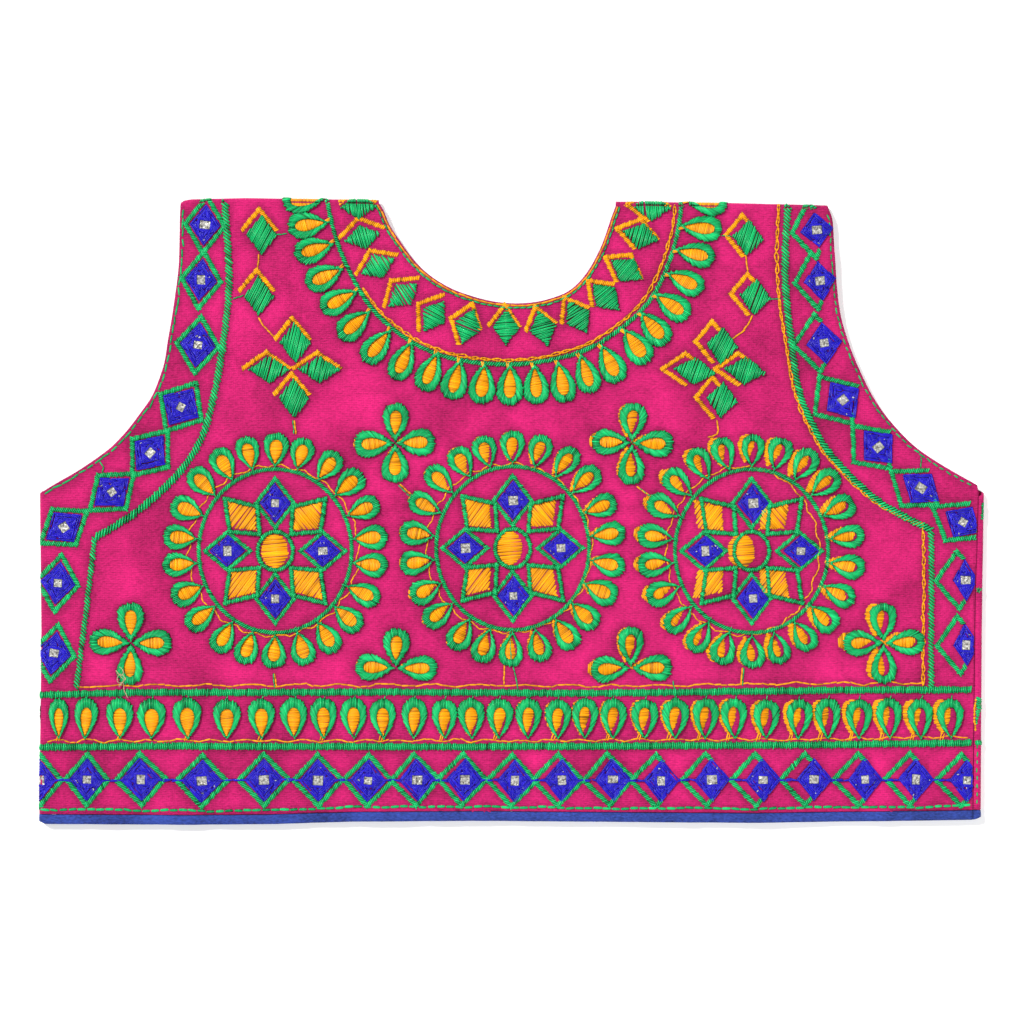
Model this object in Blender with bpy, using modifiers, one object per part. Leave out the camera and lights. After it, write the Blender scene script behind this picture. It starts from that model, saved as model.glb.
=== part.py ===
"""Sleeveless embroidered jacket, laid flat on its front with its back upward.

Metres, +Z up. X runs across the body and +Y towards the neck. The origin is under the
middle of the garment, on the surface that it lies on. Each piece is drawn flat, as it is
cut, and is then lifted, creased and folded round the garment's edges. The heights below
are those of the cloth's inner face, and the wall is added outwards from there.
"""

import math
from collections import namedtuple

import bpy
from mathutils import Vector, kdtree
from mathutils.geometry import delaunay_2d_cdt

# Cloth, seams and folds
WALL = 0.0012
BINDING_WALL = 0.0016
GAP = 0.0003
BINDING_WIDTH = 0.0048
FOLD_INNER_RADIUS = 0.0008
FOLD_OUTER_RADIUS = FOLD_INNER_RADIUS + WALL
FOLD_LENGTH = math.pi * (FOLD_INNER_RADIUS + WALL / 2)
FOLD_FACETS = 6
TUCK = 0.005
BEYOND_FOLD = FOLD_LENGTH + TUCK
GRID = 0.015
CLEAR_OF_MARKS = 0.0062

# Heights of the back layer over the front one
LOFT = 0.0009
BACK_HEIGHT = WALL + GAP + LOFT
EDGE_HEIGHT = WALL + 2 * FOLD_INNER_RADIUS
SAGGED_HEIGHT = 0.0006

# Front panels
FRONT_ARMHOLE_INSET = 0.003
FRONT_OPENING = 0.001
FRONT_NECK_DEPTH = 0.108
FRONT_NECK_HALF = {"left": 0.0675, "right": 0.0560}

# How far each kind of embroidery stands up from the cloth
CORD_RISE = 0.0007
CORD_HALF = 0.0018
LOZENGE_RISE = 0.0006
PETAL_RISE = 0.0006
HIGHEST_RISE = 0.0007

# The armholes' lines on both sides, from the underarm up to the shoulder tip
ArmholeRow = namedtuple("ArmholeRow", "height left right")
ARMHOLE = [
    ArmholeRow(0.0090, -0.2396, 0.2400),
    ArmholeRow(0.0140, -0.2312, 0.2355),
    ArmholeRow(0.0205, -0.2205, 0.2245),
    ArmholeRow(0.0325, -0.2035, 0.2057),
    ArmholeRow(0.0445, -0.1924, 0.1935),
    ArmholeRow(0.0565, -0.1836, 0.1846),
    ArmholeRow(0.0690, -0.1782, 0.1779),
    ArmholeRow(0.0850, -0.1746, 0.1716),
    ArmholeRow(0.1050, -0.1712, 0.1666),
    ArmholeRow(0.1250, -0.1690, 0.1647),
    ArmholeRow(0.1450, -0.1686, 0.1637),
    ArmholeRow(0.1520, -0.1684, 0.1625),
    ArmholeRow(0.1560, -0.1670, 0.1595),
]

# The back's neck scoop, from the left shoulder round to the right one
NeckRow = namedtuple("NeckRow", "x y")
NECK = [
    NeckRow(-0.0672, 0.1565),
    NeckRow(-0.0646, 0.1515),
    NeckRow(-0.0566, 0.1373),
    NeckRow(-0.0440, 0.1218),
    NeckRow(-0.0262, 0.1114),
    NeckRow(-0.0060, 0.1062),
    NeckRow(0.0100, 0.1063),
    NeckRow(0.0240, 0.1096),
    NeckRow(0.0345, 0.1168),
    NeckRow(0.0432, 0.1298),
    NeckRow(0.0500, 0.1465),
    NeckRow(0.0518, 0.1530),
    NeckRow(0.0535, 0.1560),
]

# Nearly straight edges: how far off each runs, at places along it
EdgeRow = namedtuple("EdgeRow", "along off")
LEFT_SIDE = [EdgeRow(-0.160, -0.2400), EdgeRow(-0.060, -0.2389), EdgeRow(0.009, -0.2396)]
RIGHT_SIDE = [EdgeRow(-0.160, 0.2384), EdgeRow(-0.060, 0.2390), EdgeRow(0.009, 0.2400)]
SIDE_SEAM = [EdgeRow(-0.160, 0.2340), EdgeRow(-0.045, 0.2352), EdgeRow(0.009, 0.2370)]
SHOULDERS = [
    EdgeRow(-0.168, 0.1580),
    EdgeRow(-0.135, 0.1590),
    EdgeRow(-0.070, 0.1583),
    EdgeRow(0.054, 0.1575),
    EdgeRow(0.110, 0.1568),
    EdgeRow(0.160, 0.1556),
]
HEM = [
    EdgeRow(-0.240, -0.1586),
    EdgeRow(-0.160, -0.1590),
    EdgeRow(-0.120, -0.1586),
    EdgeRow(-0.080, -0.1574),
    EdgeRow(-0.020, -0.1570),
    EdgeRow(0.060, -0.1576),
    EdgeRow(0.120, -0.1580),
    EdgeRow(0.200, -0.1570),
    EdgeRow(0.240, -0.1564),
]

# Soft creases of the back layer, as ridges with a rise and troughs with a rise below nought
Crease = namedtuple("Crease", "x0 y0 x1 y1 width rise")
CREASES = [
    Crease(-0.008, 0.012, -0.006, -0.120, 0.006, -0.0007),
    Crease(-0.028, 0.070, -0.024, 0.038, 0.008, -0.0006),
    Crease(-0.150, 0.082, -0.100, 0.104, 0.012, 0.0012),
    Crease(-0.135, 0.045, -0.104, 0.066, 0.013, 0.0010),
    Crease(-0.226, -0.012, -0.180, -0.024, 0.011, 0.0010),
    Crease(-0.174, -0.064, -0.158, -0.088, 0.007, 0.0009),
    Crease(0.030, -0.082, 0.068, -0.052, 0.009, 0.0011),
    Crease(-0.050, -0.082, -0.078, -0.048, 0.009, 0.0009),
    Crease(0.058, 0.056, 0.090, 0.028, 0.010, 0.0011),
    Crease(0.066, 0.046, 0.074, 0.008, 0.006, -0.0006),
    Crease(0.112, 0.104, 0.130, 0.060, 0.011, 0.0010),
    Crease(0.176, -0.004, 0.208, -0.050, 0.012, 0.0012),
    Crease(0.086, -0.090, 0.170, -0.086, 0.008, 0.0009),
    Crease(-0.064, 0.052, -0.040, 0.060, 0.010, 0.0009),
    Crease(0.150, 0.050, 0.172, 0.034, 0.009, 0.0008),
    Crease(-0.110, 0.140, -0.120, 0.112, 0.009, 0.0008),
]

# Mirror lozenges down each armhole and side, turned to follow the edge
LozengeRow = namedtuple("LozengeRow", "left_x left_y left_turn right_x right_y right_turn")
ARM_LOZENGES = [
    LozengeRow(-0.1555, 0.1446, 4, 0.1550, 0.1418, -2),
    LozengeRow(-0.1575, 0.1175, 4, 0.1570, 0.1170, -4),
    LozengeRow(-0.1591, 0.0845, 3, 0.1586, 0.0855, -12),
    LozengeRow(-0.1677, 0.0530, -25, 0.1682, 0.0566, 20),
    LozengeRow(-0.1834, 0.0297, -30, 0.1860, 0.0327, 35),
    LozengeRow(-0.2027, 0.0099, -34, 0.2078, 0.0119, 30),
    LozengeRow(-0.2262, -0.0079, -32, 0.2255, -0.0053, 15),
    LozengeRow(-0.2272, -0.0363, -3, 0.2262, -0.0348, 0),
    LozengeRow(-0.2272, -0.0718, -5, 0.2262, -0.0677, 3),
]
ARM_LOZENGE_HALF = (0.0076, 0.0100)
HEM_LOZENGE_HALF = (0.0085, 0.0090)
HEM_LOZENGE_Y = -0.1362
HEM_LOZENGE_FIRST_X = -0.2150
HEM_LOZENGE_PITCH = 0.0258
HEM_LOZENGES = 17

# Couched cords inside the armholes, round the neck and above the hem
CordPoint = namedtuple("CordPoint", "x y")
LEFT_CORD = [
    CordPoint(-0.1453, 0.1560),
    CordPoint(-0.1434, 0.1195),
    CordPoint(-0.1469, 0.0809),
    CordPoint(-0.1515, 0.0566),
    CordPoint(-0.1576, 0.0368),
    CordPoint(-0.1692, 0.0190),
    CordPoint(-0.1905, -0.0003),
    CordPoint(-0.2113, -0.0134),
]
RIGHT_CORD = [
    CordPoint(0.1400, 0.1540),
    CordPoint(0.1388, 0.1215),
    CordPoint(0.1413, 0.0926),
    CordPoint(0.1454, 0.0581),
    CordPoint(0.1535, 0.0424),
    CordPoint(0.1641, 0.0261),
    CordPoint(0.1860, 0.0053),
    CordPoint(0.2129, -0.0094),
]
LEFT_SIDE_CORD = [
    CordPoint(-0.2113, -0.0134),
    CordPoint(-0.2150, -0.0500),
    CordPoint(-0.2205, -0.0870),
]
RIGHT_SIDE_CORD = [
    CordPoint(0.2129, -0.0094),
    CordPoint(0.2130, -0.0500),
    CordPoint(0.2128, -0.0870),
]
NECK_CORD = [
    CordPoint(-0.0936, 0.1560),
    CordPoint(-0.0896, 0.1403),
    CordPoint(-0.0825, 0.1225),
    CordPoint(-0.0718, 0.1043),
    CordPoint(-0.0576, 0.0906),
    CordPoint(-0.0414, 0.0814),
    CordPoint(-0.0236, 0.0764),
    CordPoint(-0.0008, 0.0748),
    CordPoint(0.0195, 0.0769),
    CordPoint(0.0398, 0.0819),
    CordPoint(0.0576, 0.0946),
    CordPoint(0.0703, 0.1073),
    CordPoint(0.0794, 0.1251),
    CordPoint(0.0845, 0.1428),
    CordPoint(0.0860, 0.1545),
]
HEM_CORD_HEIGHTS = [-0.0916, -0.1190]

# Medallions across the back
MEDALLION_X = [-0.1215, 0.0003, 0.1215]
MEDALLION_Y = -0.0190
RING_RADIUS = 0.0408
DISC_RADIUS = 0.0090
MEDALLION_PETALS = 22
MEDALLION_LOZENGE_AT = 0.0254
MEDALLION_LOZENGE_HALF = (0.0074, 0.0092)
RHOMBUS_AT = (0.0168, 0.0174)
RHOMBUS_HALF = (0.0080, 0.0105)

# Drop petals: a row above the hem, a fan round the neck and four-petal flowers
PETAL_LENGTH = 0.0150
PETAL_HALF = 0.0054
HEM_PETAL_Y = -0.0975
HEM_PETALS = 34
NECK_PETALS = 21
FlowerRow = namedtuple("FlowerRow", "x y petals")
FLOWERS = [
    FlowerRow(-0.0591, 0.0348, 4),
    FlowerRow(0.0611, 0.0348, 4),
    FlowerRow(-0.1931, -0.0667, 4),
    FlowerRow(0.1890, -0.0667, 4),
    FlowerRow(-0.0586, -0.0794, 3),
    FlowerRow(0.0606, -0.0794, 3),
]
PETAL_TURNS = {4: (0, 90, 180, 270), 3: (0, 90, 270)}

# Satin diamonds of the two sprays, with their long axis up or across
DiamondRow = namedtuple("DiamondRow", "x y turn")
SPRAY_DIAMONDS = [
    DiamondRow(-0.1276, 0.1418, 0),
    DiamondRow(-0.1286, 0.1104, 0),
    DiamondRow(-0.1099, 0.0860, 0),
    DiamondRow(-0.1251, 0.0723, 90),
    DiamondRow(-0.0962, 0.0723, 90),
    DiamondRow(-0.1104, 0.0581, 0),
    DiamondRow(0.1200, 0.1388, 0),
    DiamondRow(0.1235, 0.1088, 0),
    DiamondRow(0.1068, 0.0840, 0),
    DiamondRow(0.0931, 0.0713, 90),
    DiamondRow(0.1185, 0.0713, 90),
    DiamondRow(0.1058, 0.0566, 0),
]
DIAMOND_HALF = (0.0060, 0.0078)

# Satin diamonds round the neck, each with its long axis towards the middle of the neck
NeckRow = namedtuple("NeckRow", "x y")
NECK_MIDDLE = (-0.0005, 0.1565)
NECK_DIAMONDS = [
    NeckRow(-0.0759, 0.1398),
    NeckRow(-0.0677, 0.1251),
    NeckRow(-0.0556, 0.1114),
    NeckRow(-0.0393, 0.0992),
    NeckRow(-0.0221, 0.0941),
    NeckRow(-0.0028, 0.0936),
    NeckRow(0.0160, 0.0931),
    NeckRow(0.0337, 0.0987),
    NeckRow(0.0479, 0.1088),
    NeckRow(0.0586, 0.1225),
    NeckRow(0.0657, 0.1398),
]
NECK_DIAMOND_HALF = (0.0052, 0.0080)


def at(rows, along):
    """The offset of a nearly straight edge at a place along it."""
    if along <= rows[0].along:
        return rows[0].off
    for low, high in zip(rows, rows[1:]):
        if along <= high.along:
            share = (along - low.along) / (high.along - low.along)
            return low.off + share * (high.off - low.off)
    return rows[-1].off


def smooth(share):
    """A soft step: 0 up to nought, 1 from one on."""
    share = min(1.0, max(0.0, share))
    return share * share * (3 - 2 * share)


def span(start, end, step):
    """Evenly spaced places from start to end, no further apart than step."""
    count = max(1, math.ceil(abs(end - start) / step))
    return [start + (end - start) * k / count for k in range(count + 1)]


def rounded(points, steps):
    """A smooth line through the points, with some steps between each two of them."""
    line = []
    for i in range(len(points) - 1):
        before = Vector(points[max(i - 1, 0)])
        start = Vector(points[i])
        end = Vector(points[i + 1])
        after = Vector(points[min(i + 2, len(points) - 1)])
        for k in range(steps):
            t = k / steps
            place = start + (end - before) * (t / 2)
            place += (before * 2 - start * 5 + end * 4 - after) * (t * t / 2)
            place += (start * 3 - before - end * 3 + after) * (t**3 / 2)
            line.append((place.x, place.y))
    line.append(tuple(points[-1]))
    return line


def side_fold(y):
    """Where the back starts to turn under at the left side."""
    return at(LEFT_SIDE, y) + FOLD_OUTER_RADIUS


def right_fold(y):
    """Where the right front starts to turn up at the right side."""
    return at(RIGHT_SIDE, y) - FOLD_OUTER_RADIUS


def shoulder_fold(x):
    """Where the back starts to turn under at a shoulder."""
    return at(SHOULDERS, x) - FOLD_OUTER_RADIUS


def front_neck_reach(x, y):
    """Below 1 inside the front's neck scoop, where only the back layer lies."""
    half = FRONT_NECK_HALF["left" if x < 0 else "right"]
    return math.hypot(x / half, (at(SHOULDERS, 0) - y) / FRONT_NECK_DEPTH)


def crease_rise(x, y):
    """The sum of the soft creases at a place."""
    total = 0.0
    for c in CREASES:
        run = Vector((c.x1 - c.x0, c.y1 - c.y0))
        place = Vector((x - c.x0, y - c.y0))
        along = place.dot(run) / run.length_squared
        off = abs(place.cross(run)) / run.length
        fade = smooth(1 - abs(along - 0.5))
        total += c.rise * fade * math.exp(-((off / c.width) ** 2))
    return total


def back_height(x, y, low_wall):
    """Height of the back layer's inner face: full at its folds, creased and sagging inside."""
    from_edge = min(x - at(LEFT_SIDE, y), at(RIGHT_SIDE, y) - x, at(SHOULDERS, x) - y)
    inside = smooth((from_edge - 0.004) / 0.022)
    height = EDGE_HEIGHT + inside * (BACK_HEIGHT - EDGE_HEIGHT + crease_rise(x, y))
    height = max(height, low_wall + GAP)
    sag = smooth((0.93 - front_neck_reach(x, y)) / 0.30)
    sag *= smooth((at(SHOULDERS, x) - y - 0.004) / 0.020)
    return height + sag * (SAGGED_HEIGHT - height)


def round_fold(over, low_wall):
    """A way round a fold: how far it goes out or back, and how far down it has come."""
    angle = math.pi * over / FOLD_LENGTH
    drop = (EDGE_HEIGHT - low_wall) / 2
    out = FOLD_OUTER_RADIUS - low_wall
    if over < FOLD_LENGTH:
        return out * math.sin(angle), drop * (1 - math.cos(angle))
    return FOLD_LENGTH - over, 2 * drop


def shape_back(x, y, low_wall):
    """Lifts a flat point of the back, and turns it under at the left side and shoulders."""
    if x < side_fold(y):
        out, down = round_fold(side_fold(y) - x, low_wall)
        return side_fold(y) - out, y, EDGE_HEIGHT - down
    if y > shoulder_fold(x):
        out, down = round_fold(y - shoulder_fold(x), low_wall)
        return x, shoulder_fold(x) + out, EDGE_HEIGHT - down
    return x, y, back_height(x, y, low_wall)


def shape_front(x, y, low_wall):
    """A front lies flat, and the right one turns up and over at the right side."""
    if x > right_fold(y):
        out, up = round_fold(x - right_fold(y), low_wall)
        return right_fold(y) + out, y, low_wall + up
    return x, y, low_wall


def moved(loop, x, y, turn):
    """A closed loop of (x, y, rise) marks, turned by some degrees and moved to a place."""
    cos = math.cos(math.radians(turn))
    sin = math.sin(math.radians(turn))
    return [(x + a * cos - b * sin, y + a * sin + b * cos, rise) for a, b, rise in loop]


def lozenge(x, y, half, turn=0.0):
    """A padded lozenge: its outline on the cloth and a flat top for the mirror."""
    lines = []
    for share, rise in ((1.0, 0.0), (0.72, LOZENGE_RISE)):
        wide = half[0] * share
        tall = half[1] * share
        loop = [(wide, 0, rise), (0, tall, rise), (-wide, 0, rise), (0, -tall, rise)]
        lines.append(moved(loop + loop[:1], x, y, turn))
    return lines


def petal(x, y, turn, length=PETAL_LENGTH, half=PETAL_HALF):
    """A drop petal with its tip at a place, its round end towards +Y before it is turned."""
    outline = [(0, 0), (half, 0.62), (half * 0.6, 0.93), (-half * 0.6, 0.93), (-half, 0.62)]
    loop = [(a, b * length, 0.0) for a, b in outline]
    middle = [(0, 0.4 * length, PETAL_RISE), (0, 0.72 * length, PETAL_RISE)]
    return [moved(loop + loop[:1], x, y, turn), moved(middle, x, y, turn)]


def disc(x, y, radius, corners):
    """A round patch of fill stitch."""
    loops = []
    for share, rise in ((1.0, 0.0), (0.7, PETAL_RISE)):
        turns = [2 * math.pi * k / corners for k in range(corners + 1)]
        reach = radius * share
        loops.append([(x + reach * math.cos(t), y + reach * math.sin(t), rise) for t in turns])
    return loops


def cord(points, step=0.0085):
    """A couched cord: its two edges on the cloth, and its raised middle."""
    line = [Vector(p) for p in points]
    picked = [line[0]]
    for place in line[1:-1]:
        if (place - picked[-1]).length >= step and (line[-1] - place).length > step / 2:
            picked.append(place)
    picked.append(line[-1])
    lines = [[], [], []]
    for k, place in enumerate(picked):
        ahead = picked[min(k + 1, len(picked) - 1)] - picked[max(k - 1, 0)]
        across = Vector((-ahead.y, ahead.x)).normalized() * CORD_HALF
        for line, share, rise in zip(lines, (-1, 0, 1), (0, CORD_RISE, 0)):
            line.append((*(place + across * share), rise))
    return lines


def cord_through(rows, steps=6):
    """A cord on a smooth line through the rows of a table."""
    return cord(rounded([(row.x, row.y) for row in rows], steps))


def along_line(points, share):
    """The place at a share of a line's length, and the direction the line has there."""
    line = [Vector(p) for p in points]
    reach = share * sum((b - a).length for a, b in zip(line, line[1:]))
    for a, b in zip(line, line[1:]):
        step = (b - a).length
        if reach <= step:
            return a + (b - a) * (reach / step), (b - a).normalized()
        reach -= step
    return line[-1], (line[-1] - line[-2]).normalized()


def medallion(x, y):
    """Ring, fan of petals, four mirror lozenges, four rhombi and the middle disc."""
    turns = [2 * math.pi * k / 26 for k in range(27)]
    lines = []
    for reach, rise in ((-1, 0), (0, CORD_RISE), (1, 0)):
        radius = RING_RADIUS + reach * CORD_HALF * 0.7
        lines.append([(x + radius * math.cos(t), y + radius * math.sin(t), rise) for t in turns])
    for k in range(MEDALLION_PETALS):
        turn = 360 * k / MEDALLION_PETALS
        out = Vector((-math.sin(math.radians(turn)), math.cos(math.radians(turn))))
        tip = Vector((x, y)) + out * (RING_RADIUS + CORD_HALF)
        lines += petal(tip.x, tip.y, turn, 0.0155)
    for k in range(4):
        turn = math.radians(90 * k)
        out = Vector((-math.sin(turn), math.cos(turn)))
        place = Vector((x, y)) + out * MEDALLION_LOZENGE_AT
        lines += lozenge(place.x, place.y, MEDALLION_LOZENGE_HALF, 90 * k)
        corner_x = x + RHOMBUS_AT[0] * (1 if k in (0, 3) else -1)
        corner_y = y + RHOMBUS_AT[1] * (1 if k < 2 else -1)
        lines += lozenge(corner_x, corner_y, RHOMBUS_HALF, 45 if k in (1, 3) else -45)
    return lines + disc(x, y, DISC_RADIUS, 8)


def embroidery():
    """All raised motifs of the back, as lines of (x, y, rise) marks."""
    lines = []
    for x in MEDALLION_X:
        lines += medallion(x, MEDALLION_Y)
    for row in ARM_LOZENGES:
        lines += lozenge(row.left_x, row.left_y, ARM_LOZENGE_HALF, row.left_turn)
        lines += lozenge(row.right_x, row.right_y, ARM_LOZENGE_HALF, row.right_turn)
    for k in range(HEM_LOZENGES):
        lines += lozenge(HEM_LOZENGE_FIRST_X + k * HEM_LOZENGE_PITCH, HEM_LOZENGE_Y, HEM_LOZENGE_HALF)
    for rows in (LEFT_CORD, RIGHT_CORD, LEFT_SIDE_CORD, RIGHT_SIDE_CORD, NECK_CORD):
        lines += cord_through(rows)
    for y in HEM_CORD_HEIGHTS:
        lines += cord([(x, y) for x in span(-0.2360, 0.2320, 0.009)])
    for k in range(HEM_PETALS):
        lines += petal(-0.2290 + 0.0137 * k, HEM_PETAL_Y - PETAL_LENGTH - 0.0030, 0, 0.0180, 0.0050)
    neck_line = rounded([(row.x, row.y) for row in NECK_CORD], 6)
    for k in range(NECK_PETALS):
        place, ahead = along_line(neck_line, (k + 0.55) / NECK_PETALS)
        turn = math.degrees(math.atan2(ahead.y, ahead.x)) + 180
        out = Vector((ahead.y, -ahead.x)) * (CORD_HALF + 0.0004)
        lines += petal(place.x + out.x, place.y + out.y, turn, 0.0160, 0.0050)
    for flower in FLOWERS:
        for turn in PETAL_TURNS[flower.petals]:
            out = Vector((-math.sin(math.radians(turn)), math.cos(math.radians(turn)))) * 0.002
            lines += petal(flower.x + out.x, flower.y + out.y, turn, 0.0185)
    for row in SPRAY_DIAMONDS:
        lines += lozenge(row.x, row.y, DIAMOND_HALF, row.turn)
    for row in NECK_DIAMONDS:
        towards = math.atan2(NECK_MIDDLE[1] - row.y, NECK_MIDDLE[0] - row.x)
        lines += lozenge(row.x, row.y, NECK_DIAMOND_HALF, math.degrees(towards) - 90)
    return lines


def hem_edge(x):
    """The bottom edge of the cloth, where the binding is sewn on."""
    return at(HEM, x) + BINDING_WIDTH + GAP


def wrapped_edge(places):
    """The edge of the back beyond a shoulder's fold."""
    return [(x, shoulder_fold(x) + BEYOND_FOLD) for x in places]


def back_outline():
    """The back's cut: hem, right seam, armhole, shoulder, neck, shoulder and armhole."""
    end = LEFT_SIDE[1].off + FOLD_OUTER_RADIUS - BEYOND_FOLD
    arm = {side: [(getattr(row, side), row.height) for row in ARMHOLE] for side in ("left", "right")}
    hem = [(x, hem_edge(x)) for x in span(end, at(SIDE_SEAM, -0.155), 0.016)]
    seam = [(at(SIDE_SEAM, y), y) for y in span(-0.140, 0.0110, 0.016)]
    right_arm = [p for p in rounded(arm["right"], 2) if p[0] < seam[-1][0] - 0.002]
    right_shoulder = wrapped_edge(span(right_arm[-1][0], NECK[-1].x, 0.02))
    neck = rounded([(row.x, row.y) for row in reversed(NECK)], 2)
    left_shoulder = wrapped_edge(span(NECK[0].x, ARMHOLE[-1].left, 0.02))
    left_arm = rounded(arm["left"][::-1], 2)
    side = [(end, y) for y in span(0.0090, -0.140, 0.030)]
    return hem + seam + right_arm + right_shoulder + neck + left_shoulder + left_arm + side


def front_end(y):
    """The flat place at which the right front meets the back's side seam."""
    return right_fold(y) + FOLD_LENGTH + right_fold(y) - at(SIDE_SEAM, y) - GAP


def front_outline(side):
    """A front's cut: centre front, hem, side, armhole, shoulder and deep neck."""
    sign = -1 if side == "left" else 1
    left_end = side_fold(-0.06) + TUCK + GAP
    arm = [(getattr(row, side), row.height) for row in ARMHOLE]
    arm = [(x - sign * FRONT_ARMHOLE_INSET, y) for x, y in rounded(arm, 2)]
    if side == "left":
        edge = [(left_end, 0.0090)]
        hem_end = left_end
        arm = [p for p in arm if p[0] > left_end + 0.004]
    else:
        edge = [(front_end(y), y) for y in span(-0.140, 0.0075, 0.020)]
        hem_end = front_end(-0.155)
        arm = [p for p in arm if p[0] < right_fold(0) - 0.001]
    top = [(x, shoulder_fold(x) - TUCK - GAP) for x in (arm[-1][0], sign * FRONT_NECK_HALF[side])]
    arm = [p for p in arm if p[1] < top[0][1] - 0.001]
    neck = []
    for k in range(8, -1, -1):
        turn = math.pi / 2 * k / 9
        x = max(FRONT_NECK_HALF[side] * math.sin(turn), FRONT_OPENING / 2)
        neck.append((sign * x, at(SHOULDERS, 0) - FRONT_NECK_DEPTH * math.cos(turn)))
    hem = [(x, hem_edge(x)) for x in span(sign * FRONT_OPENING / 2, hem_end, 0.04)]
    outline = hem + edge + arm + top + neck
    return outline if side == "right" else outline[::-1]


def binding_outline(start, end):
    """A strip of binding below the hem, from one place across the body to another."""
    places = span(start, end, 0.016)
    bottom = [(x, at(HEM, x)) for x in places]
    top = [(x, at(HEM, x) + BINDING_WIDTH) for x in reversed(places)]
    return bottom + top


def level(points):
    """Points on the cloth itself, as marks with no rise."""
    return [(x, y, 0.0) for x, y in points]


def side_fold_lines(low, high, fold, outward):
    """Lines that let a piece bend round a side in narrow facets."""
    offsets = [outward * FOLD_LENGTH * k / FOLD_FACETS for k in range(FOLD_FACETS + 1)]
    places = span(low, high, 0.025)
    return [level([(fold(y) + off, y) for y in places]) for off in offsets]


def shoulder_fold_lines():
    """Lines that let the back bend over both shoulders in narrow facets."""
    lines = []
    for start, end in ((-0.172, -0.060), (0.048, 0.168)):
        for k in range(FOLD_FACETS + 1):
            off = FOLD_LENGTH * k / FOLD_FACETS
            lines.append(level([(x, shoulder_fold(x) + off) for x in span(start, end, 0.025)]))
    return lines


def grid_dots(lines):
    """Points spread over the back, clear of its raised motifs and its folds."""
    marks = [mark for line in lines for mark in line]
    tree = kdtree.KDTree(len(marks))
    for k, mark in enumerate(marks):
        tree.insert((mark[0], mark[1], 0), k)
    tree.balance()
    dots = []
    for row, y in enumerate(span(-0.148, 0.150, GRID * 0.87)):
        for x in span(-0.234, 0.230, GRID):
            place = (x + (row % 2) * GRID / 2, y, 0)
            if tree.find(place)[2] > CLEAR_OF_MARKS:
                dots.append(place)
    return dots


def cloth_piece(name, outline, lines, dots, shape, wall, facing, material):
    """Triangulates a flat cut with its lines and dots, shapes it and gives it its wall."""
    marks = level(outline)
    edges = []
    for line in lines:
        edges += [(k, k + 1) for k in range(len(marks), len(marks) + len(line) - 1)]
        marks += line
    marks += dots
    flat = [Vector(mark[:2]) for mark in marks]
    cut = [list(range(len(outline)))]
    places, _, faces, from_marks, _, from_cut = delaunay_2d_cdt(flat, edges, cut, 0, 1e-6)
    faces = [list(face)[::facing] for face, inside in zip(faces, from_cut) if inside]
    used = sorted({k for face in faces for k in face})
    number = {old: new for new, old in enumerate(used)}
    mesh = bpy.data.meshes.new(name)
    points = [shape(places[k].x, places[k].y, wall) for k in used]
    mesh.from_pydata(points, [], [[number[k] for k in face] for face in faces])
    mesh.materials.append(material)
    mesh.shade_smooth()
    piece = bpy.data.objects.new(name, mesh)
    jacket.objects.link(piece)
    raised = piece.vertex_groups.new(name="raised")
    for new, old in enumerate(used):
        rise = max((marks[k][2] for k in from_marks[old]), default=0.0)
        raised.add([new], rise / HIGHEST_RISE, "REPLACE")
    solidify = piece.modifiers.new("wall", "SOLIDIFY")
    solidify.offset = 1
    solidify.use_even_offset = True
    solidify.thickness = wall + HIGHEST_RISE
    solidify.vertex_group = raised.name
    solidify.thickness_vertex_group = wall / solidify.thickness
    return piece


def finish(name, colour, roughness):
    """A plain cloth material."""
    material = bpy.data.materials.new(name)
    material.use_nodes = True
    surface = material.node_tree.nodes["Principled BSDF"]
    surface.inputs["Base Color"].default_value = (*colour, 1)
    surface.inputs["Roughness"].default_value = roughness
    material.diffuse_color = (*colour, 1)
    return material


for old in list(bpy.data.objects):
    bpy.data.objects.remove(old)
jacket = bpy.data.collections.new("embroidered_jacket")
bpy.context.scene.collection.children.link(jacket)
pink_cotton = finish("pink_cotton", (0.62, 0.022, 0.16), 0.75)
blue_binding = finish("blue_binding", (0.04, 0.075, 0.36), 0.6)

# Panels
left_lines = side_fold_lines(-0.170, 0.020, side_fold, -1)
right_lines = side_fold_lines(-0.170, 0.020, right_fold, 1)
motifs = embroidery()
folds = left_lines + shoulder_fold_lines()
cloth_piece(
    "back_panel", back_outline(), motifs + folds, grid_dots(motifs + folds),
    shape_back, WALL, 1, pink_cotton,
)
cloth_piece("left_front_panel", front_outline("left"), [], [], shape_front, WALL, -1, pink_cotton)
cloth_piece(
    "right_front_panel", front_outline("right"), right_lines, [], shape_front, WALL, -1, pink_cotton
)

# Hem bindings
left_end = side_fold(-0.06) + TUCK + GAP
wrap_end = LEFT_SIDE[1].off + FOLD_OUTER_RADIUS - BEYOND_FOLD
cloth_piece(
    "back_hem_binding", binding_outline(wrap_end, at(SIDE_SEAM, -0.155)), left_lines, [],
    shape_back, BINDING_WALL, 1, blue_binding,
)
cloth_piece(
    "left_hem_binding", binding_outline(left_end, -FRONT_OPENING / 2), [], [],
    shape_front, BINDING_WALL, -1, blue_binding,
)
cloth_piece(
    "right_hem_binding", binding_outline(FRONT_OPENING / 2, front_end(-0.155)), right_lines, [],
    shape_front, BINDING_WALL, -1, blue_binding,
)
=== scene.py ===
import math

import bmesh
import bpy
import numpy as np
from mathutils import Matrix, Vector, kdtree


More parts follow.
